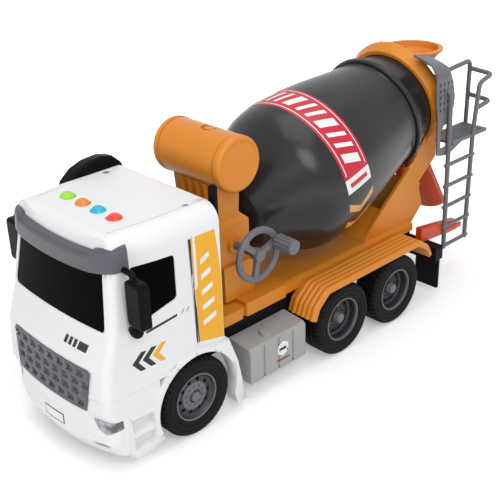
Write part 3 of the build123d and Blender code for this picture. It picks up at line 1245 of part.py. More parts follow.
with BuildPart() as chute_bracket:
    add(slab_y(-BRACKET_HALF, BRACKET_HALF, [
        (DECK_REAR, RAIL_TOP), (CHASSIS_REAR, RAIL_TOP), (CHASSIS_REAR, BAR_TOP), (CHUTE_PIVOT_X - 8, 52.0),
        (CHUTE_PIVOT_X - 8, BRACKET_TOP), (DECK_REAR, BRACKET_TOP),
    ]))
    with BuildSketch(Plane.XY.offset(BRACKET_TOP - 2)):
        with Locations((CHUTE_PIVOT_X, 0)):
            Circle(POST_R)
    extrude(amount=POST_TOP - BRACKET_TOP + 2)
    with BuildSketch(Plane.XY.offset(POST_TOP - 2)):
        with Locations((CHUTE_PIVOT_X, 0)):
            Circle(PIVOT_R)
    extrude(amount=8.0)
chute_bracket.part.label = "chute_bracket"
export_step(chute_bracket.part, "parts/chute_bracket.step")

# %% Ladder with its handrails on the left, the platform, and the shield beside the collar
LADDER_Y = 48.0
RAIL_ROD_R = 1.7
RUNG_R = 1.4
RUNGS = 5
LADDER_FRONT = (ahead(-300.0), ahead(-289.0))     # x of the front rail at foot and top
LADDER_REAR = (ahead(-332.0), ahead(-327.0))
LADDER_FOOT = 34.0
LADDER_TOP = 181.0
RUNG_PITCH = 20.0
PLATFORM_Z = 133.0
PLATFORM_REAR = ahead(-350.0)
PLATFORM_IN = 22.0
PLATFORM_THICK = 2.4
SLAT_GAPS = 7
GUARD_Y = PLATFORM_IN + RAIL_ROD_R
GUARD_REAR = PLATFORM_REAR + RAIL_ROD_R

with BuildPart() as ladder:
    # the front rail runs on over the top, round the inside of the platform and down to its rear corner
    add(rod([
        (LADDER_FRONT[0], LADDER_Y, LADDER_FOOT), (LADDER_FRONT[1], LADDER_Y, LADDER_TOP),
        (LADDER_FRONT[1] - 3, GUARD_Y, LADDER_TOP + 6), (GUARD_REAR, GUARD_Y, LADDER_TOP + 9),
        (GUARD_REAR, GUARD_Y, PLATFORM_Z + PLATFORM_THICK),
    ], RAIL_ROD_R, 4.0))
    add(rod([(LADDER_REAR[0], LADDER_Y, LADDER_FOOT), (LADDER_REAR[1], LADDER_Y, LADDER_TOP)], RAIL_ROD_R))
    for rung in range(RUNGS):
        height = LADDER_FOOT + RUNG_PITCH * rung + RAIL_ROD_R
        share = (height - LADDER_FOOT) / (LADDER_TOP - LADDER_FOOT)
        front_x = LADDER_FRONT[0] + share * (LADDER_FRONT[1] - LADDER_FRONT[0])
        rear_x = LADDER_REAR[0] + share * (LADDER_REAR[1] - LADDER_REAR[0])
        add(rod([(front_x, LADDER_Y, height), (rear_x, LADDER_Y, height)], RUNG_R))
    # two guard rails across the rear end of the platform
    for height in (LADDER_TOP - 1, LADDER_TOP - 23):
        add(rod([
            (GUARD_REAR, GUARD_Y, height + 4), (GUARD_REAR - 1, LADDER_Y, height), (LADDER_REAR[1], LADDER_Y, height - 3),
        ], RUNG_R, 4.0))
ladder.part.label = "ladder"
export_step(ladder.part, "parts/ladder.step")

with BuildPart() as platform:
    with BuildSketch(Plane.XY.offset(PLATFORM_Z)):
        with Locations(((PLATFORM_FRONT + PLATFORM_REAR) / 2, (PLATFORM_IN + LADDER_Y) / 2)):
            RectangleRounded(PLATFORM_FRONT - PLATFORM_REAR, LADDER_Y - PLATFORM_IN, 1.5)
            with GridLocations(1.0, 3.1, 1, SLAT_GAPS):
                SlotOverall(PLATFORM_FRONT - PLATFORM_REAR - 6, 1.5, mode=Mode.SUBTRACT)
    extrude(amount=PLATFORM_THICK)
    # a tapered gusset below, on the shield's side
    add(slab_y(PLATFORM_IN + 3, PLATFORM_IN + 5, [
        (PLATFORM_FRONT, PLATFORM_Z + 0.5), (PLATFORM_FRONT, PLATFORM_Z - 9), (PLATFORM_FRONT - 26, PLATFORM_Z + 0.5),
    ]))
    add(slab_y(LADDER_Y - RAIL_ROD_R - 4, LADDER_Y - RAIL_ROD_R - 2, [
        (PLATFORM_FRONT, PLATFORM_Z + 0.5), (PLATFORM_FRONT, PLATFORM_Z - 9), (PLATFORM_FRONT - 26, PLATFORM_Z + 0.5),
    ]))
    add(ladder.part, mode=Mode.SUBTRACT)
platform.part.label = "platform"
export_step(platform.part, "parts/platform.step")

SHIELD_Y = LADDER_Y - RAIL_ROD_R - 2.4
SHIELD_THICK = 2.4
SHIELD_OUTLINE = [
    (ahead(-268.0), 201.0), (ahead(-288.0), 200.0), (ahead(-301.0), 175.0), (ahead(-299.0), 160.0),
    (PLATFORM_FRONT, 124.0), (ahead(-276.0), 130.0), (ahead(-273.0), 165.0),
]

with BuildPart() as service_shield:
    add(slab_y(SHIELD_Y, SHIELD_Y + SHIELD_THICK, SHIELD_OUTLINE))
    # rows of round perforations above a framed window
    with BuildSketch(side_plane(SHIELD_Y + SHIELD_THICK)):
        with Locations((ahead(-285.0), 181.0)):
            with GridLocations(5.0, 6.0, 4, 5):
                Circle(1.1)
        with Locations((ahead(-287.0), 143.0)):
            RectangleRounded(13.0, 20.0, 1.5)
    extrude(amount=SHIELD_THICK, mode=Mode.SUBTRACT)
    # a notch in the rear edge lets the guard rail through
    add(slab_y(SHIELD_Y - 1, LADDER_Y, [
        (LADDER_FRONT[1] + 3, LADDER_TOP - 1), (LADDER_FRONT[1] + 3, LADDER_TOP + 9),
        (LADDER_FRONT[1] - 14, LADDER_TOP + 9), (LADDER_FRONT[1] - 14, LADDER_TOP - 1),
    ]), mode=Mode.SUBTRACT)
    # top flange, leaning inwards over the collar
    add(slab_y(SHIELD_Y - 16, SHIELD_Y + SHIELD_THICK, [
        (ahead(-262.0), 212.0), (ahead(-290.0), 203.0), (ahead(-289.0), 199.0), (ahead(-268.0), 199.0),
        (ahead(-262.0), 209.0),
    ]))
    add(turned(DRUM_SIDE, DRUM_AXIS, [
        (SEAM_S, 0), (SEAM_S, COLLAR_R + SKIN_GAP), (COLLAR_REAR_S + 1, COLLAR_R + SKIN_GAP), (COLLAR_REAR_S + 1, 0),
    ]), mode=Mode.SUBTRACT)
    # webs tie the shield to the collar's rear face
    add(slab_y(SHIELD_Y - 12, SHIELD_Y + 1, [
        on_drum_axis(COLLAR_REAR_S, 16.0), on_drum_axis(COLLAR_REAR_S, 22.0), on_drum_axis(COLLAR_REAR_S + 4, 22.0),
        on_drum_axis(COLLAR_REAR_S + 4, 16.0),
    ]))
service_shield.part.label = "service_shield"
export_step(service_shield.part, "parts/service_shield.step")

# %% Ladder arm: carries the ladder's foot on the deck's rear edge
with BuildPart() as ladder_arm:
    add(slab_y(PLATE_OUT, LADDER_Y - RAIL_ROD_R, [
        (DECK_REAR, DECK_TOP - 2), (DECK_REAR, 50.0), (ahead(-318.0), 44.0), (ahead(-318.0), 56.0),
    ]))
    add(slab_y(LADDER_Y - RAIL_ROD_R - 1, LADDER_Y, [
        (LADDER_FRONT[0] + 3, 45.5), (LADDER_FRONT[0] + 3, 51.0), (LADDER_REAR[0] + 8, 51.0), (LADDER_REAR[0] + 8, 45.5),
    ]))
    add(ladder.part, mode=Mode.SUBTRACT)
ladder_arm.part.label = "ladder_arm"
export_step(ladder_arm.part, "parts/ladder_arm.step")
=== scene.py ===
import json
import math

import bmesh
import bpy
from mathutils import Matrix, Vector
from mathutils.bvhtree import BVHTree


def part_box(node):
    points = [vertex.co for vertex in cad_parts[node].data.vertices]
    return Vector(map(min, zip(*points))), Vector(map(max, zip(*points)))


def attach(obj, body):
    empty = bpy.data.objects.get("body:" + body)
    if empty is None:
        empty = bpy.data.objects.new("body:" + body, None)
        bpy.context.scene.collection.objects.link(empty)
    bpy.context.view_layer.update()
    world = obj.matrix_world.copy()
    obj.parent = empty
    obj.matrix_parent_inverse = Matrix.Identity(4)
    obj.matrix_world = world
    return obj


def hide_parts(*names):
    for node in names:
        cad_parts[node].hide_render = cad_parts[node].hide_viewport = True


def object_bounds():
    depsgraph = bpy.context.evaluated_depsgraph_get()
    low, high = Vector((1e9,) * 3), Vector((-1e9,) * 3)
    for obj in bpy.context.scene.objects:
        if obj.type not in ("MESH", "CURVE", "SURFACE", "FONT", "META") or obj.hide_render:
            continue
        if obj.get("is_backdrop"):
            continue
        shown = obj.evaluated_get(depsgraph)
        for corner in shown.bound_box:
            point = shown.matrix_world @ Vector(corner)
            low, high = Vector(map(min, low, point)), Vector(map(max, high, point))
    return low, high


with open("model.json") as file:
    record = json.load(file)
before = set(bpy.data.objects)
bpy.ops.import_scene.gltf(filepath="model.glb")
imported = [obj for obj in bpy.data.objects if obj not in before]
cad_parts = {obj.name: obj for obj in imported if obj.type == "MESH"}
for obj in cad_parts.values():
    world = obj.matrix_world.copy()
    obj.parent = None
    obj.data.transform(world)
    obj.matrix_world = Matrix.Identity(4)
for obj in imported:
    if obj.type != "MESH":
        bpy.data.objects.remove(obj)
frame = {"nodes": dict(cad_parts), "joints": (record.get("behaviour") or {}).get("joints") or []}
nodes = frame["nodes"]
cad_low, cad_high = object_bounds()
MM = 0.001
AXLES, SIDES = ("front", "middle", "rear"), (("left", 1), ("right", -1))
print("size in mm:", [round(side / MM, 1) for side in cad_high - cad_low])

# %% [markdown]
# ## Small helpers for materials
# Colours are written as the sRGB hex values that a paint chart or a screen shows. Blender mixes light in
# linear values, so one function turns a hex value into them. Another adds a node to a material, sets its
# properties, and fills each socket: with a number, or with a link when it is given another node's output.
# %% Colour and node helpers
def linear(hex_colour):
    """The linear colour that stands for an sRGB hex value."""
    channels = [int(hex_colour[i:i + 2], 16) / 255 for i in (1, 3, 5)]
    return tuple(c / 12.92 if c <= 0.04045 else ((c + 0.055) / 1.055) ** 2.4 for c in channels) + (1.0,)


def fill(tree, node, inputs):
    """Set a node's sockets to numbers and colours, or link them to other nodes' outputs."""
    for socket, value in inputs.items():
        if isinstance(value, bpy.types.NodeSocket):
            tree.links.new(value, node.inputs[socket])
        else:
            node.inputs[socket].default_value = value


def add_node(tree, kind, inputs=None, **settings):
    """A new node with its properties set, and its sockets filled or linked."""
    made = tree.nodes.new(kind)
    for key, value in settings.items():
        setattr(made, key, value)
    fill(tree, made, inputs or {})
    return made


def start_material(name):
    """An empty material with its node tree, its main shader, and the place on the object."""
    material = bpy.data.materials.new(name)
    material.use_nodes = True
    tree = material.node_tree
    place = add_node(tree, "ShaderNodeTexCoord").outputs["Object"]
    return material, tree, tree.nodes["Principled BSDF"], place


print("linear mid grey:", [round(c, 3) for c in linear("#808080")])

# %% [markdown]
# ## Injection-moulded plastic
# Nearly all of the truck is ABS or polypropylene, squeezed hot into steel moulds. Three things tell the eye
# that it is moulded: a spark-eroded grain, slow flow marks where the melt cooled unevenly, and edges that
# are never sharp. The grain is a bump a fraction of a millimetre across, which a picture of the whole truck
# can't show, so it is drawn about a millimetre wide. The flow marks are a noise some tens of millimetres
# wide that shifts colour and roughness a little. A Bevel node rounds the edges in the shading alone, and
# leaves the mesh as it is.
# %% Moulded plastic
def moulded(name, colour, roughness, grain_mm=1.2, grain_depth_mm=0.02, flow_mm=45.0, flow=0.10,
            edge_mm=0.7, gloss=0.35):
    """Moulded plastic: grain, flow marks and softened edges."""
    material, tree, shader, place = start_material(name)
    marks = add_node(tree, "ShaderNodeTexNoise", {
        "Vector": place, "Scale": 1 / (flow_mm * MM), "Detail": 3.0})
    deep = tuple(c * (1 - flow) for c in linear(colour)[:3]) + (1.0,)
    tone = add_node(tree, "ShaderNodeMix", {
        0: marks.outputs[0], 6: deep, 7: linear(colour)}, data_type="RGBA")
    polish = add_node(tree, "ShaderNodeMapRange", {
        "Value": marks.outputs[0], "From Min": 0.3, "From Max": 0.7,
        "To Min": roughness - 0.04, "To Max": roughness + 0.05,
    })
    grain = add_node(tree, "ShaderNodeTexNoise", {
        "Vector": place, "Scale": 1 / (grain_mm * MM), "Detail": 2.0})
    edges = add_node(tree, "ShaderNodeBevel", {"Radius": edge_mm * MM}, samples=4)
    bump = add_node(tree, "ShaderNodeBump", {
        "Height": grain.outputs[0], "Distance": grain_depth_mm * MM, "Strength": 0.6,
        "Normal": edges.outputs[0],
    })
    fill(tree, shader, {
        "Base Color": tone.outputs[2], "Roughness": polish.outputs[0], "Normal": bump.outputs[0],
        "IOR": 1.5, "Specular IOR Level": gloss,
    })
    return material


white_abs = moulded("white_moulded_ABS", "#EDEDEF", 0.34, flow=0.03)
orange_abs = moulded("orange_moulded_ABS", "#E08A26", 0.36, flow=0.10)
red_orange_abs = moulded("red_orange_moulded_ABS", "#D2470F", 0.36, flow=0.10)
drum_abs = moulded("dark_grey_blown_drum", "#232327", 0.27, grain_mm=2.0, flow_mm=70.0, flow=0.18)
visor_abs = moulded("grey_moulded_ABS", "#5A5B63", 0.42, flow=0.10)
rail_abs = moulded("cool_grey_moulded_ABS", "#6E7076", 0.45, flow=0.12)
tank_abs = moulded("light_grey_moulded_ABS", "#A9AAA8", 0.45, flow=0.08)
black_abs = moulded("black_moulded_ABS", "#111112", 0.38, flow=0.15, gloss=0.05)
chassis_pp = moulded(
    "black_moulded_polypropylene", "#111112", 0.55, grain_depth_mm=0.03, flow=0.2, gloss=0.12)
print("plastics:", [m.name for m in bpy.data.materials if "mould" in m.name or "blown" in m.name])

# %% [markdown]
# ## Push buttons, glazing, lamp covers, steel and board
# The four buttons are small, bright and glossy. The windows are not clear: they are single pieces of black
# polystyrene, polished in the mould. Under a white room a full gloss would show them as grey, so their
# specular level is held far below the usual 0.5, and they look flatter than polished plastic does. The
# black mouldings and the tyres are held down in the same way, but less. The lamp covers are clear
# polystyrene over a metallised reflector, whose highlights are painted into its colour as bright silver
# spots in dark grey rims. The axles are drawn steel rod, with drawing marks along the rod, and the sound
# board is green glass-fibre laminate.
# %% Buttons, glazing, lamp covers, steel and board
buttons = {
    colour: moulded(f"{colour}_glossy_button_ABS", value, 0.22, grain_depth_mm=0.004, flow=0.05, edge_mm=0.4)
    for colour, value in
    (("green", "#9FDC45"), ("orange", "#E58A32"), ("blue", "#25B4D2"), ("red", "#F4473A"))
}


def polished_black(name):
    """Black polystyrene polished in the mould, with finger marks in its gloss."""
    material, tree, shader, place = start_material(name)
    marks = add_node(tree, "ShaderNodeTexNoise", {"Vector": place, "Scale": 1 / (12 * MM), "Detail": 4.0})
    smear = add_node(tree, "ShaderNodeMapRange", {
        "Value": marks.outputs[0], "From Min": 0.4, "From Max": 0.75, "To Min": 0.10, "To Max": 0.24,
    })
    fill(tree, shader, {
        "Roughness": smear.outputs[0], "Base Color": linear("#060607"), "Specular IOR Level": 0.01,
        "IOR": 1.55,
    })
    return material


def metallised_lamp(name):
    """Clear fluted polystyrene over a metallised reflector, seen as one piece, with painted highlights in its
    colour.
    """
    material, tree, shader, place = start_material(name)
    flutes = add_node(tree, "ShaderNodeTexWave", {
        "Vector": place, "Scale": 0.03 / MM}, bands_direction="Y")
    bump = add_node(tree, "ShaderNodeBump", {
        "Height": flutes.outputs[1], "Distance": 0.25 * MM, "Strength": 0.8})
    # painted highlights: the reflector is metallised silver, but here silver cell centres fade to dark grey
    # rims, painted in place of the light its bowls catch
    glint_cells = add_node(tree, "ShaderNodeTexVoronoi", {"Vector": place, "Scale": 1 / (7 * MM)})
    tone = add_node(tree, "ShaderNodeMapRange", {
        "Value": glint_cells.outputs["Distance"], "From Min": 0.15, "From Max": 0.7})
    painted_glint_tone = add_node(tree, "ShaderNodeMix", {
        0: tone.outputs[0], 6: linear("#B9BBC0"), 7: linear("#4A4B50"),
    }, data_type="RGBA")
    fill(tree, shader, {
        "Normal": bump.outputs[0], "Base Color": painted_glint_tone.outputs[2], "Metallic": 0.6, "Roughness": 0.22,
        "Coat Weight": 1.0, "Coat Roughness": 0.05,
    })
    return material


def drawn_steel(name):
    """Bright steel rod with drawing marks along Y."""
    material, tree, shader, place = start_material(name)
    along = add_node(tree, "ShaderNodeMapping", {"Vector": place, "Scale": (1.0, 0.04, 1.0)})
    marks = add_node(tree, "ShaderNodeTexNoise", {"Vector": along.outputs[0], "Scale": 1 / (0.6 * MM)})
    tone = add_node(tree, "ShaderNodeMix", {
        0: marks.outputs[0], 6: linear("#8E9094"), 7: linear("#C9CACD"),
    }, data_type="RGBA")
    fill(tree, shader, {
        "Base Color": tone.outputs[2], "Metallic": 1.0, "Roughness": 0.32,
    })
    return material


glazing = polished_black("black_polished_polystyrene")
lamp_cover = metallised_lamp("fluted_lamp_with_painted_glints")
steel = drawn_steel("drawn_steel_rod")
board = moulded("green_glass_fibre_board", "#1F6B3C", 0.4, grain_mm=1.0, grain_depth_mm=0.04)
print("buttons:", sorted(buttons))

# %% [markdown]
# ## Tyre rubber
# The tyres are soft black PVC, matt and a little dusty.
# The dust is a noise about 9 mm wide, and it changes from wheel to wheel because it is read at each wheel's
# place.
# %% Tyre rubber
def tyre_rubber(name):
    """Matt PVC with dust and a fine skin."""
    material, tree, shader, place = start_material(name)
    dust = add_node(tree, "ShaderNodeTexNoise", {"Vector": place, "Scale": 1 / (9 * MM), "Detail": 5.0})
    tone = add_node(tree, "ShaderNodeMix", {
        0: dust.outputs[0], 6: linear("#0D0D0E"), 7: linear("#19191A"),
    }, data_type="RGBA")
    skin = add_node(tree, "ShaderNodeTexNoise", {"Vector": place, "Scale": 1 / (1.0 * MM), "Detail": 2.0})
    bump = add_node(tree, "ShaderNodeBump", {
        "Height": skin.outputs[0], "Distance": 0.05 * MM, "Strength": 0.5})
    fill(tree, shader, {
        "Base Color": tone.outputs[2], "Normal": bump.outputs[0], "Roughness": 0.62,
        "Specular IOR Level": 0.12,
    })
    return material


soft_pvc = tyre_rubber("soft_black_PVC_tyre")
print("tyre material:", soft_pvc.name)

# %% [markdown]
# ## Places, and objects from a mesh in the making
# Most places are measured from the front axle, in millimetres, as a maker would measure this truck. A bmesh
# is a mesh in the making, and one function turns it into an object, smooth but for its sharp edges.
# %% Places and objects
def centre_of(node):
    """The middle of a node's box."""
    low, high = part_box(node)
    return (low + high) / 2


axle_x = centre_of("axle_front").x


def at(ahead, left, height):
    """A place in millimetres ahead of the front axle, to the truck's left, and above the ground."""
    return Vector((axle_x + ahead * MM, left * MM, height * MM))


def new_object(name, shape, sharp=35, material=None):
    """An object from a bmesh, with its edges sharp above an angle in degrees."""
    bmesh.ops.recalc_face_normals(shape, faces=shape.faces[:])
    mesh = bpy.data.meshes.new(name)
    shape.to_mesh(mesh)
    shape.free()
    mesh.shade_smooth()
    if sharp:
        mesh.set_sharp_from_angle(angle=math.radians(sharp))
    if material:
        mesh.materials.append(material)
    made = bpy.data.objects.new(name, mesh)
    bpy.context.collection.objects.link(made)
    return made


print("front axle at mm:", [round(c / MM, 1) for c in centre_of("axle_front")])

# %% [markdown]
# ## Tyres with cut tread
# A tyre is a ring, so its mesh is an outline that is carried round the axle. Half of the outline is written
# here from the bead to the middle of the tread, and the other half is its mirror image. Its steps are the
# fine raised rings on the side and the grooves round the tread. The cuts across the tread come from the
# turning: at the angles of a cut, the points of the shoulder are drawn in by most of a millimetre. The two
# shoulders are half a lug out of step, as on a real lorry tyre.
# %% Tyre meshes
LUGS = 44
CUT_DEPTH, CUT_NARROWING = 0.8, 0.97
SHOULDER_FROM, TREAD_FROM = 5.4, 28.0         # the cuts lie beyond both: across the tyre, and in radius
HALF_TYRE = 11.0
LUG_STEPS = (0.0, 0.05, 0.25, 0.30, 0.65)     # places round one lug, of which the middle two lie in the cut
HALF_OUTLINE = (     # distance from the tyre's middle and radius, both in millimetres
    (8.6, 18.0), (10.0, 18.2), (10.8, 19.2), (10.9, 20.6), (10.55, 20.8), (10.55, 21.2), (10.95, 21.4),
    (11.0, 23.0), (11.0, 24.6), (10.65, 24.8), (10.65, 25.2), (10.95, 25.4), (10.85, 26.6), (10.55, 27.8),
    (10.0, 28.8), (9.2, 29.5), (8.2, 29.9), (7.0, 30.0), (5.6, 30.0), (5.4, 29.0), (4.4, 29.0), (4.2, 30.0),
    (2.4, 30.0), (0.9, 30.0), (0.7, 29.0),
)
outline = list(HALF_OUTLINE) + [(-across, radius) for across, radius in reversed(HALF_OUTLINE)]


def tyre(name, node, axle):
    """A tyre with lugs, in the place of its CAD node."""
    middle, axle_at = centre_of(node), centre_of(f"axle_{axle}")
    ring = bmesh.new()
    rows = []
    for lug in range(LUGS):
        for step, part in enumerate(LUG_STEPS):
            row = []
            for across, radius in outline:
                # the far shoulder's cuts come half a lug later
                late = 0.5 * abs(across) / HALF_TYRE if across < 0 else 0.0
                turn = 2 * math.pi * (lug + part + late) / LUGS
                if step in (1, 2) and abs(across) > SHOULDER_FROM and radius > TREAD_FROM:
                    radius, across = radius - CUT_DEPTH, across * CUT_NARROWING
                row.append(ring.verts.new((
                    axle_at.x + radius * MM * math.cos(turn), middle.y + across * MM,
                    axle_at.z + radius * MM * math.sin(turn))))
            rows.append(row)
    for row, following in zip(rows, rows[1:] + rows[:1]):
        for k in range(len(outline) - 1):
            ring.faces.new((row[k], row[k + 1], following[k + 1], following[k]))
        # the bead closes the ring on the inside
        ring.faces.new((row[-1], row[0], following[0], following[-1]))
    made = new_object(name, ring, 38, soft_pvc)
    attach(made, f"{axle}_wheels")
    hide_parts(node)
    return made


for axle in AXLES:
    for side_name, side in SIDES:
        made = tyre(f"treaded_tyre_{axle}_{side_name}", f"tyre_{axle}_{side_name}", axle)
print("faces in one tyre:", len(made.data.polygons))

# %% [markdown]
# ## Rims
# Each rim is one dark moulding that was touched with grey paint: on the front wheels its edge and the hub
# with its nuts, on the rear wheels a broad ring and the deep hub. The paint follows circles round the axle,
# so the material picks the colour by the distance from it.
# %% Rim plastic and paint
def from_axle(tree, place, centre):
    """The distance from a wheel's axle, as a node output."""
    local = add_node(tree, "ShaderNodeVectorMath", {0: place, 1: centre}, operation="SUBTRACT")
    parts = add_node(tree, "ShaderNodeSeparateXYZ", {0: local.outputs[0]})
    flat = add_node(tree, "ShaderNodeCombineXYZ", {0: parts.outputs[0], 2: parts.outputs[2]})
    return add_node(tree, "ShaderNodeVectorMath", {0: flat.outputs[0]}, operation="LENGTH").outputs["Value"]


PAINT_EDGE = 0.15                  # half the width of a paint edge's blur


def rim_plastic(name, centre, painted):
    """Dark moulded rim with grey paint between each pair of radii, in millimetres."""
    material, tree, shader, place = start_material(name)
    reach = from_axle(tree, place, centre)
    cover = None
    for low, high in painted:
        above = add_node(tree, "ShaderNodeMapRange", {
            "Value": reach, "From Min": (low - PAINT_EDGE) * MM, "From Max": (low + PAINT_EDGE) * MM})
        below = add_node(tree, "ShaderNodeMapRange", {
            "Value": reach, "From Min": (high - PAINT_EDGE) * MM, "From Max": (high + PAINT_EDGE) * MM,
            "To Min": 1.0, "To Max": 0.0})
        band = add_node(tree, "ShaderNodeMath", {
            0: above.outputs[0], 1: below.outputs[0]}, operation="MULTIPLY")
        cover = band if cover is None else add_node(tree, "ShaderNodeMath", {
            0: cover.outputs[0], 1: band.outputs[0]}, operation="MAXIMUM")
    marks = add_node(tree, "ShaderNodeTexNoise", {"Vector": place, "Scale": 1 / (5 * MM), "Detail": 3.0})
    plastic = add_node(tree, "ShaderNodeMix", {
        0: marks.outputs[0], 6: linear("#1C1C1F"), 7: linear("#2B2B30"),
    }, data_type="RGBA")
    tone = add_node(tree, "ShaderNodeMix", {
        0: cover.outputs[0], 6: plastic.outputs[2], 7: linear("#66676E"),
    }, data_type="RGBA")
    edges = add_node(tree, "ShaderNodeBevel", {"Radius": 0.5 * MM}, samples=4)
    bump = add_node(tree, "ShaderNodeBump", {
        "Height": marks.outputs[0], "Distance": 0.03 * MM, "Normal": edges.outputs[0]})
    fill(tree, shader, {
        "Base Color": tone.outputs[2], "Normal": bump.outputs[0], "Roughness": 0.4,
    })
    return material


# the radii between which each axle's rims are painted
PAINTED = dict(zip(AXLES, (
    ((0.0, 3.6), (5.0, 10.6), (16.8, 18.4)), ((0.0, 5.2), (16.6, 18.4)), ((0.0, 5.2), (16.6, 18.4)))))
rim_plastics = {}
for axle, painted in PAINTED.items():
    hub = centre_of(f"axle_{axle}")
    rim_plastics[axle] = rim_plastic(f"{axle}_painted_rim_ABS", (hub.x, 0.0, hub.z), painted)
print("rims:", sorted(rim_plastics))

# %% [markdown]
# ## Every CAD piece gets its finish
# A finish is chosen by the start of a piece's name. The CAD mesh stays as it is, and only its material
# slots change.
# %% Finish of each CAD piece
FINISHES = {
    white_abs: "cab_shell front_bumper",
    visor_abs: "sun_visor grille",
    glazing: "windshield side_window",
    lamp_cover: "headlight",
    black_abs: "mirror air_intake cab_back_panel speaker",
    board: "sound_board",
    orange_abs: "body_deck drum_pedestal water_tank tank_cap rear_frame feed_hopper",
    red_orange_abs: "discharge_chute chute_bracket ladder_arm",
    drum_abs: "drum_shell",
    rail_abs: "drum_shaft crank_shaft hand_wheel crank_knob ladder platform service_shield",
    tank_abs: "fuel_tank",
    chassis_pp: "chassis_frame friction_motor battery_box battery_door rear_bumper",
    steel: "axle",
    soft_pvc: "tyre",
}
finish_of_start = {start: finish for finish, starts in FINISHES.items() for start in starts.split()}


def finish_for(name):
    """The material of a CAD piece: the one whose start of the name is the longest that fits."""
    kind, _, which = name.partition("_")
    if kind == "button":
        return buttons[which]
    if kind == "rim":
        return rim_plastics[which.split("_")[0]]
    return finish_of_start[max((start for start in finish_of_start if name.startswith(start)), key=len)]


for name, obj in nodes.items():
    obj.data.materials.clear()
    obj.data.materials.append(finish_for(name))
print("finished pieces:", len(nodes))

# %% [markdown]
# ## The cab's front, drawn back
# On this truck the windscreen and the grille are nearly flat, and the whole front leans back above the
# grille. The CAD front bows out further. So the pieces of the front are copied and their points drawn back
# by one shared function, which keeps the seams between them closed. It compares two outlines of the nose:
# how far each reaches ahead of the front axle at a height, and how far it bows out between its corners. The
# copies stand for the CAD pieces, which still serve the physics.
# %% The shape of the nose
cab_low, cab_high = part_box("cab_shell")
HALF_WIDTH = (cab_high.y - cab_low.y) / 2
DOOR_FRONT = 36.0 * MM             # the nose is reshaped ahead of this line, measured from the front axle
CAD_REACH = (                      # height, and how far the nose reaches there
    (14, 75), (25, 82), (60, 81), (108, 78.5), (148, 74), (167, 70), (175, 69))
REACH = (
    (14, 75), (25, 81.7), (44, 81.4), (52, 78.7), (82, 76.3), (104, 68.5), (148, 61), (167, 57.5),
    (175, 56.5))
CAD_BOW = ((0, 13), (200, 13))     # height, and how far the nose bows out there
BOW = ((0, 13), (44, 12), (52, 3.5), (200, 3.5))
TAPER = 0.07                       # how much narrower the roof's front is than the doors


def between(table, value):
    """The second number of a table, read between its rows for a length in metres, as a length in metres."""
    for (low, first), (high, second) in zip(table, table[1:]):
        if value <= high * MM or high == table[-1][0]:
            share = min(max((value / MM - low) / (high - low), 0.0), 1.0)
            return (first + share * (second - first)) * MM


def eased(value, low, high):
    """From 0 to 1 as a length goes from low to high in millimetres, with soft ends."""
    share = min(max((value / MM - low) / (high - low), 0.0), 1.0)
    return share * share * (3 - 2 * share)


def drawn_back(point):
    """Where a point of the CAD cab lies on the flatter front."""
    ahead, height = point.x - axle_x, point.z
    side = min(abs(point.y) / HALF_WIDTH, 1.0) ** 2
    taper = 1 - TAPER * eased(height, 105, 150) * eased(ahead, 15, 50)
    if ahead > DOOR_FRONT:
        old = between(CAD_REACH, height) - between(CAD_BOW, height) * side
        new = between(REACH, height) - between(BOW, height) * side
        ahead = DOOR_FRONT + (ahead - DOOR_FRONT) * (new - DOOR_FRONT) / (old - DOOR_FRONT)
    return Vector((axle_x + ahead, point.y * taper, height))


over_screen = drawn_back(at(74, 0, 148))
print("nose over the windscreen in mm:", round((over_screen.x - axle_x) / MM, 1))

# %% [markdown]
# ## Reshaped copies
# A CAD mesh has large flat faces, which can't bend. So a copy is first cut across at set places, and then
# each of its points is moved. A Weighted Normal modifier lets the large faces decide the shading, and the
# slivers beside the cuts don't. The mirrors are copied too: they sit forward, on arms that reach the
# narrower cab.
# %% Reshaped copies
shapes = dict(nodes)               # the piece that shows for each CAD name


def stands_for(piece, node, body):
    """Show a piece in place of a CAD piece, on its body and with its finish."""
    if not piece.data.materials:
        piece.data.materials.append(finish_for(node))
    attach(piece, body)
    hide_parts(node)
    shapes[node] = piece
    return piece


def cut_across(shape, axis, place):
    """Cut every face of a bmesh that crosses a place on one axis."""
    where, normal = Vector(), Vector()
    where[axis], normal[axis] = place, 1.0
    everything = shape.verts[:] + shape.edges[:] + shape.faces[:]
    bmesh.ops.bisect_plane(shape, geom=everything, plane_co=where, plane_no=normal)


def reshaped(name, node, move, body="truck", cuts=((), (), ())):
    """A copy of a CAD piece, cut at places in millimetres along X, Y and Z, with its points moved."""
    shape = bmesh.new()
    shape.from_mesh(nodes[node].data)
    bmesh.ops.remove_doubles(shape, verts=shape.verts[:], dist=0.002 * MM)
    for layer in list(shape.loops.layers.float_vector.values()):
        shape.loops.layers.float_vector.remove(layer)
    for axis, places in enumerate(cuts):
        for place in places:
            cut_across(shape, axis, at(place, place, place)[axis])
    for vert in shape.verts:
        vert.co = move(vert.co)
    made = new_object(name, shape)
    if "custom_normal" in made.data.attributes:
        made.data.attributes.remove(made.data.attributes["custom_normal"])
    weighted = made.modifiers.new("even_shading", "WEIGHTED_NORMAL")
    weighted.keep_sharp = True
    return stands_for(made, node, body)


NOSE_CUTS = (
    (15, 25, 36, 45, 54), (-50, -40, -30, -20, -10, 0, 10, 20, 30, 40, 50),
    (25, 44, 48, 52, 60, 70, 82, 93, 104, 115, 126, 137, 148, 158),
)
for node in ("cab_shell", "front_bumper", "grille", "windshield", "headlight_left", "headlight_right",
             "side_window_left", "side_window_right"):
    reshaped(f"drawn_back_{node}", node, drawn_back, cuts=NOSE_CUTS)


HOUSING_FROM = 66.0 * MM           # a mirror's housing lies beyond this, and its arms inside it
ARM_STRETCH = 1.5
MIRROR_SHIFT = Vector((5.5 * MM, 0.0, -1.0 * MM))


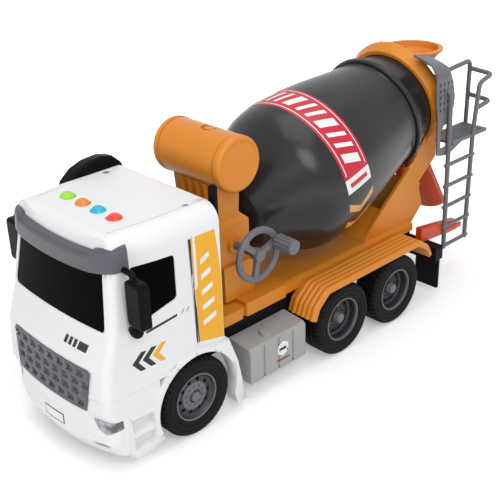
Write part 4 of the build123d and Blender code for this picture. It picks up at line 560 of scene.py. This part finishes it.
def mirror_place(point):
    """A mirror set forward, whose arms reach the narrower cab."""
    reach = abs(point.y)
    if reach < HOUSING_FROM:
        reach = HOUSING_FROM - (HOUSING_FROM - reach) * ARM_STRETCH
    return Vector((point.x, math.copysign(reach, point.y), point.z)) + MIRROR_SHIFT


for side_name, side in SIDES:
    reshaped(f"mirror_set_forward_{side_name}", f"mirror_{side_name}", mirror_place)
print("reshaped pieces:", sum(shapes[node] is not nodes[node] for node in shapes))

# %% [markdown]
# ## Swept pieces: the sun visor and the air intake
# A rod that is bent, or a moulded band, has the same section all along its way. Here such a piece is a skin
# over rows of points, where each row is one closed section. For a rod the section is a circle that is
# carried along the bent path, and each corner of the path is first turned into a short curve. The rows of
# the sun visor follow the nose, and its two ends stand higher. The air intake on the far roof edge is made
# the same way, from an outer and an inner line.
# %% Skins, rods, the sun visor and the air intake
def skin(shape, rows):
    """Faces over rows of points, each a closed section, with both ends capped."""
    rings = [[shape.verts.new(point) for point in row] for row in rows]
    count = len(rings[0])
    for ring, following in zip(rings, rings[1:]):
        for k in range(count):
            shape.faces.new((ring[k], ring[(k + 1) % count], following[(k + 1) % count], following[k]))
    shape.faces.new(rings[0])
    shape.faces.new(rings[-1])


def bent_rod(shape, points, radius_mm, bend_mm=5.0, sides=14):
    """A round rod along points, with its corners bent."""
    path = [points[0]]
    for before, corner, after in zip(points, points[1:], points[2:]):
        first = corner + (before - corner).normalized() * bend_mm * MM
        last = corner + (after - corner).normalized() * bend_mm * MM
        for step in range(7):
            share = step / 6
            path.append(first * (1 - share) ** 2 + corner * 2 * share * (1 - share) + last * share ** 2)
    path.append(points[-1])
    across, rows = None, []
    for k, point in enumerate(path):
        along = (path[min(k + 1, len(path) - 1)] - path[max(k - 1, 0)]).normalized()
        across = along.orthogonal() if across is None else across - along * across.dot(along)
        across.normalize()
        other = along.cross(across)
        rows.append([point + (across * math.cos(turn) + other * math.sin(turn)) * radius_mm * MM
                     for turn in (2 * math.pi * side / sides for side in range(sides))])
    skin(shape, rows)


VISOR_PLAN = (      # left of the middle, ahead of the front axle
    (0, 67.0), (12, 66.8), (24, 66.2), (34, 65.2), (40, 64.2), (41, 64.0), (46, 62.3), (50.5, 60.0),
    (54.5, 56.4), (56.8, 51.5), (57.6, 46.5),
)
VISOR_FOOT, ENDS_FROM, ENDS_LIFT, TURN_FROM = 144.6, 40.5, 3.2, 45.0
VISOR_SECTION = (   # depth behind the face, height over the lower edge, and the share of the ends' lift
    (0.4, 0, 0), (0.0, 1.2, 0), (1.1, 9.4, 1), (1.7, 10.2, 1), (3.0, 10.4, 1), (3.3, 11.2, 1),
    (6.4, 13.0, 0.6), (9.0, 12.0, 0), (8.0, 0, 0),
)
visor = bmesh.new()
rows = []
for left, ahead in [(-left, ahead) for left, ahead in reversed(VISOR_PLAN[1:])] + list(VISOR_PLAN):
    lift = ENDS_LIFT if abs(left) > ENDS_FROM else 0.0
    low = VISOR_FOOT + 2.0 * (left / 55) ** 2
    # at the ends, inwards is towards a point behind the windscreen's middle
    inward = Vector((20 - ahead, -left, 0)).normalized() if abs(left) > TURN_FROM else Vector((-1, 0, 0))
    rows.append([at(ahead, left, low + height + lift * share) + inward * depth * MM
                 for depth, height, share in VISOR_SECTION])
skin(visor, rows)
stands_for(new_object("swept_sun_visor", visor, 28), "sun_visor", "truck")
INTAKE = (          # the duct's outer line, and its inner one: ahead of the front axle, and height
    ((21, 156), (12, 155)), ((17.5, 165), (9, 158)), ((9, 172), (4, 160)), ((-2, 175.6), (-4, 162)),
    ((-14, 176.4), (-13, 163)), ((-23, 174.4), (-20, 163)), ((-30, 168), (-25, 160)),
    ((-34.5, 158), (-29.4, 154)), ((-36, 146), (-29.4, 145)), ((-36, 112), (-29.4, 112)),
)
INTAKE_FAR = -59.6                 # the duct's outer side, to the left of the middle
DUCT_SECTION = ((0, 1.0), (0, 0.16), (1.8, 0.03), (9.4, 0.0), (11.2, 0.14), (11.2, 1.0))   # inwards, share
duct = bmesh.new()
skin(duct, [[
    at(outer[0], INTAKE_FAR + aside, outer[1]).lerp(at(inner[0], INTAKE_FAR + aside, inner[1]), share)
    for aside, share in DUCT_SECTION] for outer, inner in INTAKE])
stands_for(new_object("deeper_air_intake", duct, 30), "air_intake", "truck")
print("visor rows:", len(rows))

# %% [markdown]
# ## Ladder with guard rails
# The real ladder is one moulding that looks like bent tube. The front upright goes on over the platform as
# a hand rail and comes down at the back, and the rear upright bends out into a second rail. Each rung runs
# on a little past both uprights. All of them are rods on bent paths, in one mesh.
# %% Ladder with guard rails
# %% Ladder with guard rails
RAIL_MM, RUNG_MM = 2.0, 1.7        # radii
FRONT_FOOT, FRONT_TOP = at(-300, 48, 34), at(-286.3, 54.4, 181.5)
REAR_FOOT, REAR_BEND = at(-332, 48, 34), at(-325.6, 52.4, 136)
ladder = bmesh.new()
BACK_RAIL = -348.4
bent_rod(ladder, [
    FRONT_FOOT, FRONT_TOP, at(-286.5, 30, 187), at(BACK_RAIL, 29.5, 191), at(BACK_RAIL, 29.5, 134.5)],
    RAIL_MM, 6.0)
bent_rod(ladder, [
    REAR_FOOT, REAR_BEND, at(-327.5, 54, 180), at(-344.5, 54.4, 184), at(BACK_RAIL, 30.5, 184)], RAIL_MM, 5.0)
bent_rod(ladder, [at(-326.6, 53.4, 158), at(-344.5, 54.4, 161), at(BACK_RAIL, 30.5, 161)], RAIL_MM, 5.0)
RUNGS, RUNG_FOOT, RUNG_STEP, RUNG_PAST = 5, 35.7, 20.0, 3.4
for rung in range(RUNGS):
    height = (RUNG_FOOT + RUNG_STEP * rung) * MM
    front = FRONT_FOOT.lerp(FRONT_TOP, (height - FRONT_FOOT.z) / (FRONT_TOP.z - FRONT_FOOT.z))
    rear = REAR_FOOT.lerp(REAR_BEND, (height - REAR_FOOT.z) / (REAR_BEND.z - REAR_FOOT.z))
    past = (front - rear).normalized() * RUNG_PAST * MM
    bent_rod(ladder, [front + past, rear - past], RUNG_MM)
stands_for(new_object("ladder_with_guard_rails", ladder), "ladder", "truck")
print("ladder height in mm:", round((FRONT_TOP.z - FRONT_FOOT.z) / MM))

# %% [markdown]
# ## Platform, ladder arm and domed buttons
# The platform moves out to meet the new ladder. The arm under it is made slimmer, which also clears it of
# the swinging chute. The part of a button that stands over the roof is stretched upwards into a dome; it
# rides its own button body, so it goes down with it.
# %% Platform, ladder arm and buttons
ARM_INNER, ARM_UNDER = 0.034, 0.050          # the CAD arm's inner face and underside, in metres
ROOF_TOP = 167 * MM
DOME_STRETCH = 1.1


def platform_place(point):
    """The platform, set out to the ladder's top."""
    return point + Vector((3.0 * MM, 5.0 * MM, 0.0))


def arm_place(point):
    """The ladder arm, slimmer and clear of the chute's swing."""
    return Vector((point.x, 0.0418 + (point.y - ARM_INNER) * 0.5, 0.051 + (point.z - ARM_UNDER) * 0.8))


def dome_place(point):
    """A button, stretched upwards over the roof."""
    return Vector((point.x, point.y, point.z + max(point.z - ROOF_TOP, 0.0) * DOME_STRETCH))


reshaped("platform_set_out", "platform", platform_place)
reshaped("slimmer_ladder_arm", "ladder_arm", arm_place)
for colour in buttons:
    reshaped(f"domed_button_{colour}", f"button_{colour}", dome_place, f"{colour}_button")
dome_top = max(vert.co.z for vert in shapes["button_red"].data.vertices)
print("domes over the roof in mm:", round((dome_top - ROOF_TOP) / MM, 1))

# %% [markdown]
# ## Service shield
# The shield is a flat moulding beside the collar: rows of round holes over a framed window, and a flange
# that leans over the collar. It starts as a flat outline with holes, filled with triangles and cut into
# narrow strips. Then its rear end is bent in a little, and it gets its thickness.
# %% Shield
def hole(ahead, height, wide, high, sides=10):
    """The corners of a hole in the shield: an ellipse, or a box when it has four sides."""
    turns = [2 * math.pi * (k + 0.5) / sides for k in range(sides)]
    return [(ahead + wide * math.cos(turn), height + high * math.sin(turn)) for turn in turns]


SHIELD = [(-270, 199), (-288, 196), (-295, 188), (-299.5, 174), (-299, 165), (-293, 159.5), (-294, 124.5),
          (-276, 128.5), (-274.5, 158), (-271, 180)]
HOLE_ACROSS, HOLE_UP, HOLE_LEAN = 5.2, 5.4, 0.5      # steps between holes, and the shift of each row
BOX_REACH = 1.35                                     # a box's corners reach further than its sides
loops = [SHIELD, hole(-284.5, 143.5, 5.2 * BOX_REACH, 10.5 * BOX_REACH, sides=4)]
for column in range(4):
    for row in range(5):
        if column < 3 or row > 0:
            ahead = -277.0 - HOLE_ACROSS * column + HOLE_LEAN * row
            loops.append(hole(ahead, 167.0 + HOLE_UP * row, 1.25, 1.5))
sheet = bmesh.new()
edges = []
for loop in loops:
    verts = [sheet.verts.new((u, v, 0.0)) for u, v in loop]
    edges += [sheet.edges.new((verts[k], verts[(k + 1) % len(verts)])) for k in range(len(verts))]
bmesh.ops.triangle_fill(sheet, edges=edges, use_beauty=True)
for place in range(-296, -274, 2):
    cut_across(sheet, 0, place)
for vert in sheet.verts:
    vert.co = at(vert.co.x, 50.2 - 2.6 * eased(-vert.co.x * MM, 284, 300), vert.co.y)
shield = new_object("bent_service_shield", sheet, 40)
thick = shield.modifiers.new("wall", "SOLIDIFY")
thick.thickness, thick.offset = 1.5 * MM, 1.0
stands_for(shield, "service_shield", "truck")
FLANGE_DROP = ((30, -3.0), (42, 0.0), (48, 2.4), (51.6, 7.5))      # left of the middle, and drop there
flange = bmesh.new()
skin(flange, [[at(-266, left, 209 - drop), at(-289, left, 203 - drop), at(-289, left, 201.2 - drop),
               at(-266, left, 207.2 - drop)] for left, drop in FLANGE_DROP])
top_flange = new_object("shield_flange", flange, 40, rail_abs)
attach(top_flange, "truck")
print("holes in the shield:", len(loops) - 1)

# %% [markdown]
# ## Discharge chute
# The real chute hangs steeper than the CAD piece and opens out like a spoon. Its copy keeps the section,
# and each point is moved by how far down the chute it lies: sideways to widen it, and along the new,
# steeper line.
# %% Chute
STAYS, SPREAD = 0.05, 0.6          # the share of the chute that stays by the pin, and how much its end widens
OLD_TOP, OLD_END = at(-306, 0, 120), at(-346, 0, 72)
NEW_TOP, NEW_END = at(-304, 0, 121), at(-341, 0, 58.5)
old_line, new_line = OLD_END - OLD_TOP, NEW_END - NEW_TOP
turn_down = new_line.to_track_quat("Z", "Y") @ old_line.to_track_quat("Z", "Y").inverted()


def chute_place(point):
    """Where a point of the CAD chute lies on the wider, steeper one."""
    share = (point - OLD_TOP).dot(old_line) / old_line.length_squared
    if share < STAYS:
        return point
    aside = turn_down @ (point - OLD_TOP - old_line * share)
    aside.y = point.y * (1 + SPREAD * share)
    return NEW_TOP + new_line * share + aside


reshaped("steeper_discharge_chute", "discharge_chute", chute_place, "chute")
print("chute's slope in degrees:", round(math.degrees(math.atan2(-new_line.z, -new_line.x))))

# %% [markdown]
# ## Printed films
# The coloured marks are thin printed films. Here a film is an outline that is cut into cells of a few
# millimetres, and each corner of a cell is then laid on the moulding under it, along a straight line. So a
# flat drawing follows the round drum as well as the flat door. The films are bare blocks, bars and arrows.
# %% Film maker
trees = {}


def landing(node, start, direction):
    """Where a straight line first meets the piece that shows for a CAD node."""
    if node not in trees:
        mesh = shapes[node].data
        trees[node] = BVHTree.FromPolygons(
            [vert.co for vert in mesh.vertices], [face.vertices for face in mesh.polygons])
    point = trees[node].ray_cast(start, direction)[0]
    if point is None:
        raise SystemExit(f"a film misses {node}")
    return point


def film(name, corners, lay, material, body, cell=3.0):
    """A film from an outline in millimetres, laid on a surface by the function lay(u, v)."""
    sheet = bmesh.new()
    sheet.faces.new([sheet.verts.new((u, v, 0.0)) for u, v in corners])
    sheet.normal_update()
    bmesh.ops.triangulate(sheet, faces=sheet.faces[:])
    for axis in (0, 1):
        low = min(corner[axis] for corner in corners)
        span = max(corner[axis] for corner in corners) - low
        count = max(1, round(span / cell))
        for step in range(1, count):
            cut_across(sheet, axis, low + span * step / count)
    for vert in sheet.verts:
        vert.co = lay(vert.co.x, vert.co.y)
    piece = new_object(name, sheet, 0, material)
    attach(piece, body)
    return piece


def printed(name, colour, roughness=0.38):
    """Ink on a thin vinyl film: even colour, with a faint unevenness where the film stretches."""
    return moulded(name, colour, roughness, grain_mm=1.5, grain_depth_mm=0.01, flow_mm=30.0, flow=0.05)


ink = {
    "yellow": printed("yellow_printed_vinyl", "#F2B01E"),
    "white": printed("white_printed_vinyl", "#F1F1F1"),
    "black": printed("black_printed_vinyl", "#1C1C1E"),
    "red": printed("red_printed_vinyl", "#C9293C"),
    "sand": printed("sand_printed_vinyl", "#E0A352"),
    "maroon": printed("maroon_printed_vinyl", "#8E2B3A"),
}
FILM_LIFT = 0.12 * MM
print("inks:", sorted(ink))

# %% [markdown]
# ## Films on the drum
# The drum's joint gives its axis. A film here is drawn with its distance along the axis across, and its
# distance round the belly up, both in millimetres. The place on the drum is found by a line that comes in
# towards the axis at the film's angle.
# %% Drum films
drum_joint = next(joint for joint in frame["joints"] if joint["name"] == "drum_spin")
drum_point = Vector(drum_joint["pos_m"])
drum_axis = Vector(drum_joint["axis"]).normalized()
drum_side = Vector((0.0, 1.0, 0.0))
drum_up = drum_side.cross(drum_axis).normalized()
if drum_up.z < 0:
    drum_up.negate()
BELLY_MM = 59.0


def on_drum(along, around):
    """A point on the drum, from millimetres along its axis and round its belly."""
    turn = around / BELLY_MM
    out = drum_up * math.cos(turn) + drum_side * math.sin(turn)
    foot = drum_point + drum_axis * along * MM
    return landing("drum_shell_front", foot + out * 0.1, -out) + out * FILM_LIFT


def degrees_round(angle):
    """Millimetres round the belly for an angle from the top."""
    return math.radians(angle) * BELLY_MM


FRONT_EDGE, REAR_EDGE = -28.0, -0.5
DRUM_CELL = 2.5
band_top, band_end = degrees_round(-66), degrees_round(79)
box_end = degrees_round(90)


def block(name, low_u, high_u, low_v, high_v, lay, material, body, slant=0.0, cell=3.0):
    """A four-cornered film, whose top end may be pushed sideways by slant."""
    corners = [(low_u, low_v), (high_u, low_v), (high_u + slant, high_v), (low_u + slant, high_v)]
    return film(name, corners, lay, material, body, cell)


def lifted(lay, direction):
    """The same place as lay gives, one film higher: for ink on top of ink."""
    return lambda u, v: lay(u, v) + direction(lay(u, v)) * FILM_LIFT


def away_from_axis(point):
    """The direction from the drum's axis to a point."""
    foot = drum_point + drum_axis * (point - drum_point).dot(drum_axis)
    return (point - foot).normalized()


def drum_block(name, low_u, high_u, low_v, high_v, lay, colour):
    """A four-cornered film on the drum."""
    block(name, low_u, high_u, low_v, high_v, lay, ink[colour], "drum", cell=DRUM_CELL)


above_band = lifted(on_drum, away_from_axis)
drum_block("drum_band", FRONT_EDGE, REAR_EDGE, band_top, band_end, on_drum, "red")
drum_block("drum_band_end", FRONT_EDGE, REAR_EDGE, band_end, box_end, on_drum, "white")
# two fine lines near the band's edges, and bars that lean between them
LINE = 0.8
for place in (FRONT_EDGE + 2.0, REAR_EDGE - 2.0 - LINE):
    drum_block(f"drum_line_{round(-place)}", place, place + LINE, band_top + 2, band_end - 3, above_band,
               "white")
BAR_LEAN, BAR_INSET, BAR_GAP = 6, 6, 5.6
bars = 0
where = band_top + 8
while where < band_end - 14:
    width = 3.4 if bars % 3 else 7.0
    film(f"drum_bar_{bars}", [
        (FRONT_EDGE + BAR_INSET, where), (REAR_EDGE - BAR_INSET, where + BAR_LEAN),
        (REAR_EDGE - BAR_INSET, where + BAR_LEAN + width), (FRONT_EDGE + BAR_INSET, where + width)],
        above_band, ink["white"], "drum", DRUM_CELL)
    where += width + BAR_GAP
    bars += 1
drum_block("drum_end_stripe", FRONT_EDGE + 4, REAR_EDGE - 4, box_end - 7.5, box_end - 4.0, above_band, "red")
# two folded arrows in sand colour, under the white block
for row, top in enumerate((degrees_round(98), degrees_round(116))):
    middle, drop, thick = (FRONT_EDGE + REAR_EDGE) / 2, 9.0, 7.0
    for half, edge in enumerate((FRONT_EDGE, REAR_EDGE + 2)):
        film(f"drum_arrow_{row}_{half}", [
            (edge, top), (middle, top + drop), (middle, top + drop + thick), (edge, top + thick)],
            on_drum, ink["sand"], "drum", DRUM_CELL)
print("drum bars:", bars, "on an axis along", [round(c, 3) for c in drum_axis])

# %% [markdown]
# ## Films on the cab
# On the doors a film is drawn with the distance ahead of the front axle across, and the height up. A line
# from the side finds the door's surface. Both doors carry the same marks: a yellow strip behind the shut
# line, a black film along the shut line that paints the shade in its groove, three arrow heads that point
# forwards, and a dark bar with two slashes under the window.
# %% Cab films
OUTSIDE = 100                      # clear of the truck, to start a line from


def on_door(side):
    """The place on one door for millimetres ahead of the front axle and above the ground."""
    out = Vector((0.0, side, 0.0))

    def lay(ahead, height):
        return landing("cab_shell", at(ahead, side * OUTSIDE, height), -out) + out * FILM_LIFT
    return lay


def further_out(lay, side):
    """The same place on a side of the truck, one film higher."""
    return lifted(lay, lambda point: Vector((0.0, side, 0.0)))


STRIP = [(-2.4, 151.0), (-22.6, 151.0), (-26.4, 120.0), (-26.6, 68.0), (-5.2, 73.0)]
for side_name, side in SIDES:
    door = on_door(side)
    over_door = further_out(door, side)
    film(f"strip_{side_name}", STRIP, door, ink["yellow"], "truck", 4.0)
    # painted shade: a black film along the strip's front edge, where the shut line's groove lies in shade
    film(f"shut_line_painted_shade_{side_name}", [(0.2, 151.0), (-1.9, 151.0), (-4.9, 73.0), (-2.8, 73.0)], over_door,
         ink["black"], "truck", 4.0)
    for row in range(5):
        low_z = 84.0 + 11.5 * row
        film(f"strip_bar_{side_name}_{row}", [
            (-9.0, low_z), (-20.5 + row, low_z + 3.4), (-20.5 + row, low_z + 7.4), (-9.0, low_z + 4.0)],
            over_door, ink["white"], "truck")
    for row, tip in enumerate((51.5, 43.2, 35.0)):
        film(f"arrow_head_{side_name}_{row}", [
            (tip, 81.0), (tip - 7.6, 87.4), (tip - 12.0, 86.6), (tip - 5.2, 80.4), (tip - 10.6, 73.2),
            (tip - 6.2, 73.6)], door, ink["yellow" if row == 2 else "black"], "truck", 4.0)
    film(f"bar_{side_name}", [(38.5, 98.4), (13.0, 100.6), (12.6, 102.4), (38.5, 100.2)], door,
         ink["black"], "truck")
    for row in range(2):
        ahead = 9.6 - 4.4 * row
        film(f"slash_{side_name}_{row}", [
            (ahead, 100.6), (ahead - 1.5, 100.7), (ahead - 3.4, 103.9), (ahead - 1.9, 103.8)],
            door, ink["sand"], "truck")
print("strip height in mm:", STRIP[0][1] - STRIP[3][1])

# %% [markdown]
# ## Films on the nose, and on the fuel tanks
# On the nose a film is drawn with the truck's left to right across, and a line from the front finds the
# surface. The plate is a white block in a black frame, and is left blank.
# %% Nose and tank films
def on_nose(node):
    """The place on the nose for millimetres to the left and above the ground."""
    def lay(left, height):
        start = Vector((cad_high.x + 0.05, left * MM, height * MM))
        return landing(node, start, Vector((-1.0, 0.0, 0.0))) + Vector((FILM_LIFT, 0.0, 0.0))
    return lay


bumper_face = on_nose("front_bumper")
over_bumper = lifted(bumper_face, lambda point: Vector((1.0, 0.0, 0.0)))
PLATE, FRAME_EDGE = (-5.5, 15.5, 29.0, 37.0), 0.8      # right, left, under and upper edges
block("plate_frame", *PLATE, bumper_face, ink["black"], "truck")
block("plate", PLATE[0] + FRAME_EDGE, PLATE[1] - FRAME_EDGE, PLATE[2] + FRAME_EDGE, PLATE[3] - FRAME_EDGE,
      over_bumper, ink["white"], "truck")
nose = on_nose("cab_shell")
for row, width in enumerate((3.0, 3.0, 3.0, 9.0)):
    start = 15 + 4.6 * row
    block(f"nose_bar_{row}", start, start + width, 90.4, 96.0, nose, ink["black"], "truck", slant=1.6)

def on_tank(side_name, side):
    """The place on a fuel tank's outer face for millimetres behind and above its middle."""
    tank = f"fuel_tank_{side_name}"
    middle, out = centre_of(tank), Vector((0.0, side, 0.0))

    def lay(back, height):
        start = Vector((middle.x - back * MM, side * OUTSIDE * MM, middle.z + height * MM))
        return landing(tank, start, -out) + out * FILM_LIFT
    return lay


BADGE_BACK, BADGE_UP, BADGE_RADIUS = 4.5, 0.5, 6.4
corners_at = [math.radians(30 + 60 * k) for k in range(6)]
badge = [(BADGE_BACK + BADGE_RADIUS * math.cos(turn), BADGE_UP + BADGE_RADIUS * math.sin(turn))
         for turn in corners_at]
for side_name, side in SIDES:
    tank_face = on_tank(side_name, side)
    film(f"tank_badge_{side_name}", badge, tank_face, ink["white"], "truck")
    block(f"tank_badge_bar_{side_name}", 1.2, 7.8, -0.6, 1.6, further_out(tank_face, side), ink["black"],
          "truck")
    block(f"tank_stripe_{side_name}", -2.0, 11.0, -9.4, -7.8, tank_face, ink["maroon"], "truck")
print("plate in mm:", PLATE[1] - PLATE[0], "x", PLATE[3] - PLATE[2])

# %% [markdown]
# ## Screws
# The roof is held by two steel pan-head screws with a cross recess. One head is made as a mesh: a low dome
# of rings, whose top face is filled between its rim and the outline of the cross, and the cross is pushed
# down. Every screw uses that one mesh.
# %% Screws
def screw_head(name, radius, height):
    """A pan head with a cross recess, its base at the origin and its top towards Z."""
    head = bmesh.new()
    sides = 24
    turns = [2 * math.pi * k / sides for k in range(sides)]
    rings = []
    for share, lift in ((1.0, 0.0), (1.0, 0.45), (0.93, 0.75), (0.78, 0.95), (0.66, 1.0)):
        reach = radius * share
        rings.append([head.verts.new((reach * math.cos(turn), reach * math.sin(turn), height * lift))
                      for turn in turns])
    for lower, upper in zip(rings, rings[1:]):
        for k in range(sides):
            head.faces.new((lower[k], lower[(k + 1) % sides], upper[(k + 1) % sides], upper[k]))
    arm, slot = radius * 0.5, radius * 0.14
    outline = [(slot, slot), (slot, arm), (-slot, arm), (-slot, slot), (-arm, slot), (-arm, -slot),
               (-slot, -slot), (-slot, -arm), (slot, -arm), (slot, -slot), (arm, -slot), (arm, slot)]
    mouth = [head.verts.new((x, y, height)) for x, y in outline]
    pit = [head.verts.new((x * 0.6, y * 0.6, height * 0.3)) for x, y in outline]
    count = len(outline)
    edges = [head.edges.new((mouth[k], mouth[(k + 1) % count])) for k in range(count)]
    edges += [head.edges.get((rings[-1][k], rings[-1][(k + 1) % sides])) for k in range(sides)]
    bmesh.ops.triangle_fill(head, edges=edges, use_beauty=True)
    for k in range(count):
        head.faces.new((mouth[k], mouth[(k + 1) % count], pit[(k + 1) % count], pit[k]))
    head.faces.new(pit)
    bmesh.ops.recalc_face_normals(head, faces=head.faces[:])
    mesh = bpy.data.meshes.new(name)
    head.to_mesh(mesh)
    head.free()
    mesh.materials.append(steel)
    return mesh


SCREW_BACK, SCREW_OUT, SCREW_SUNK = 12.0, 43.0, 1.35
roof_screw = screw_head("roof_screw_head", 2.5 * MM, 1.1 * MM)
for side_name, side in SIDES:
    screw = bpy.data.objects.new(f"roof_screw_{side_name}", roof_screw)
    bpy.context.collection.objects.link(screw)
    screw.matrix_world = Matrix.Translation(at(-SCREW_BACK, side * SCREW_OUT, cab_high.z / MM - SCREW_SUNK))
    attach(screw, "truck")
print("screw head:", len(roof_screw.polygons), "faces")

# %% [markdown]
# ## Camera, light and floor
# The camera stands about 0.8 m from the truck, ahead of it and to its left, and looks down on it. Three
# large soft lamps light the truck at a plain level, and the world fills the shadows. The floor is white and
# matt. Seen by the camera and in reflections it also glows a little, and more with the distance from the
# truck, so that it ends in plain white while the truck's own shadow stays.
# %% Camera, light and floor
camera_data = bpy.data.cameras.new("camera")
camera_data.lens = 67.02
camera = bpy.data.objects.new("camera", camera_data)
bpy.context.collection.objects.link(camera)
bpy.context.scene.camera = camera
yaw, pitch, roll = -2.324, -0.462, -0.031
ahead_of = Vector((math.cos(pitch) * math.cos(yaw), math.cos(pitch) * math.sin(yaw), math.sin(pitch)))
right_of = ahead_of.cross(Vector((0, 0, 1))).normalized()
up_of = right_of.cross(ahead_of)
right_hand = right_of * math.cos(roll) + up_of * math.sin(roll)
up_hand = up_of * math.cos(roll) - right_of * math.sin(roll)
camera.matrix_world = Matrix.Translation((0.4706, 0.4729, 0.4052)) @ Matrix(
    (right_hand, up_hand, -ahead_of)).transposed().to_4x4()
camera_data.shift_x = 0.0007
camera_data.shift_y = 0.0064
camera_data.clip_start = 0.01


def softbox(name, place, target, width, height, watts):
    """An area light that faces a point."""
    data = bpy.data.lights.new(name, "AREA")
    data.shape, data.size, data.size_y, data.energy = "RECTANGLE", width, height, watts
    lamp = bpy.data.objects.new(name, data)
    bpy.context.collection.objects.link(lamp)
    lamp.location = place
    lamp.rotation_mode = "QUATERNION"
    lamp.rotation_quaternion = (Vector(target) - Vector(place)).to_track_quat("-Z", "Y")
    return lamp


def seen_or_mirrored(tree):
    """1 where the camera or a reflection looks, as a node output, and 0 for plain light."""
    rays = add_node(tree, "ShaderNodeLightPath")
    return add_node(tree, "ShaderNodeMath", {
        0: rays.outputs["Is Camera Ray"], 1: rays.outputs["Is Glossy Ray"]}, operation="MAXIMUM").outputs[0]


softbox("key", (0.55, 1.05, 1.0), (0, 0, 0.1), 0.7, 0.7, 8.0)
softbox("top", (-0.1, 0.1, 1.3), (0, 0, 0.1), 1.1, 0.9, 5.5)
softbox("front", (1.3, 0.1, 0.6), (0, 0, 0.1), 0.7, 0.7, 3.0)

FLOOR_HALF, FLOOR_GAP, WORLD_LIGHT = 6.0, 0.0005, 0.42
floor_mesh = bpy.data.meshes.new("floor")
corners = [(x * FLOOR_HALF, y * FLOOR_HALF, 0) for x, y in ((-1, -1), (1, -1), (1, 1), (-1, 1))]
floor_mesh.from_pydata(corners, [], [(0, 1, 2, 3)])
floor = bpy.data.objects.new("floor", floor_mesh)
floor.location.z = -FLOOR_GAP
bpy.context.collection.objects.link(floor)
floor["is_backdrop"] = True
floor_paint, tree, shader, place = start_material("white_matt_floor")
seen = seen_or_mirrored(tree)
away = add_node(tree, "ShaderNodeVectorMath", {0: place}, operation="LENGTH")
glow = add_node(tree, "ShaderNodeMapRange", {
    "Value": away.outputs["Value"], "From Min": 0.2, "From Max": 0.6, "To Min": 0.3, "To Max": 1.0})
amount = add_node(tree, "ShaderNodeMath", {0: glow.outputs[0], 1: seen}, operation="MULTIPLY")
fill(tree, shader, {
    "Base Color": linear("#F4F4F4"), "Roughness": 0.9, "Emission Color": (1.0, 1.0, 1.0, 1.0),
    "Emission Strength": amount.outputs[0],
})
floor_mesh.materials.append(floor_paint)

world = bpy.data.worlds.new("studio")
bpy.context.scene.world = world
world.use_nodes = True
tree = world.node_tree
glow = add_node(tree, "ShaderNodeMapRange", {
    "Value": seen_or_mirrored(tree), "To Min": WORLD_LIGHT, "To Max": 1.0})
fill(tree, tree.nodes["Background"], {"Strength": glow.outputs[0], "Color": (1.0, 1.0, 1.0, 1.0)})
bpy.context.scene.view_settings.view_transform = "Standard"
print("lamps:", [light.name for light in bpy.data.lights])

# %% [markdown]
# ## The sizes, and the end
# The last step prints the size of what is now to be seen, to set beside the size of the CAD model, which is
# printed at the start.
# %% Sizes and the end
low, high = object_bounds()
print("visual size in mm:", [round(side / MM, 1) for side in high - low])
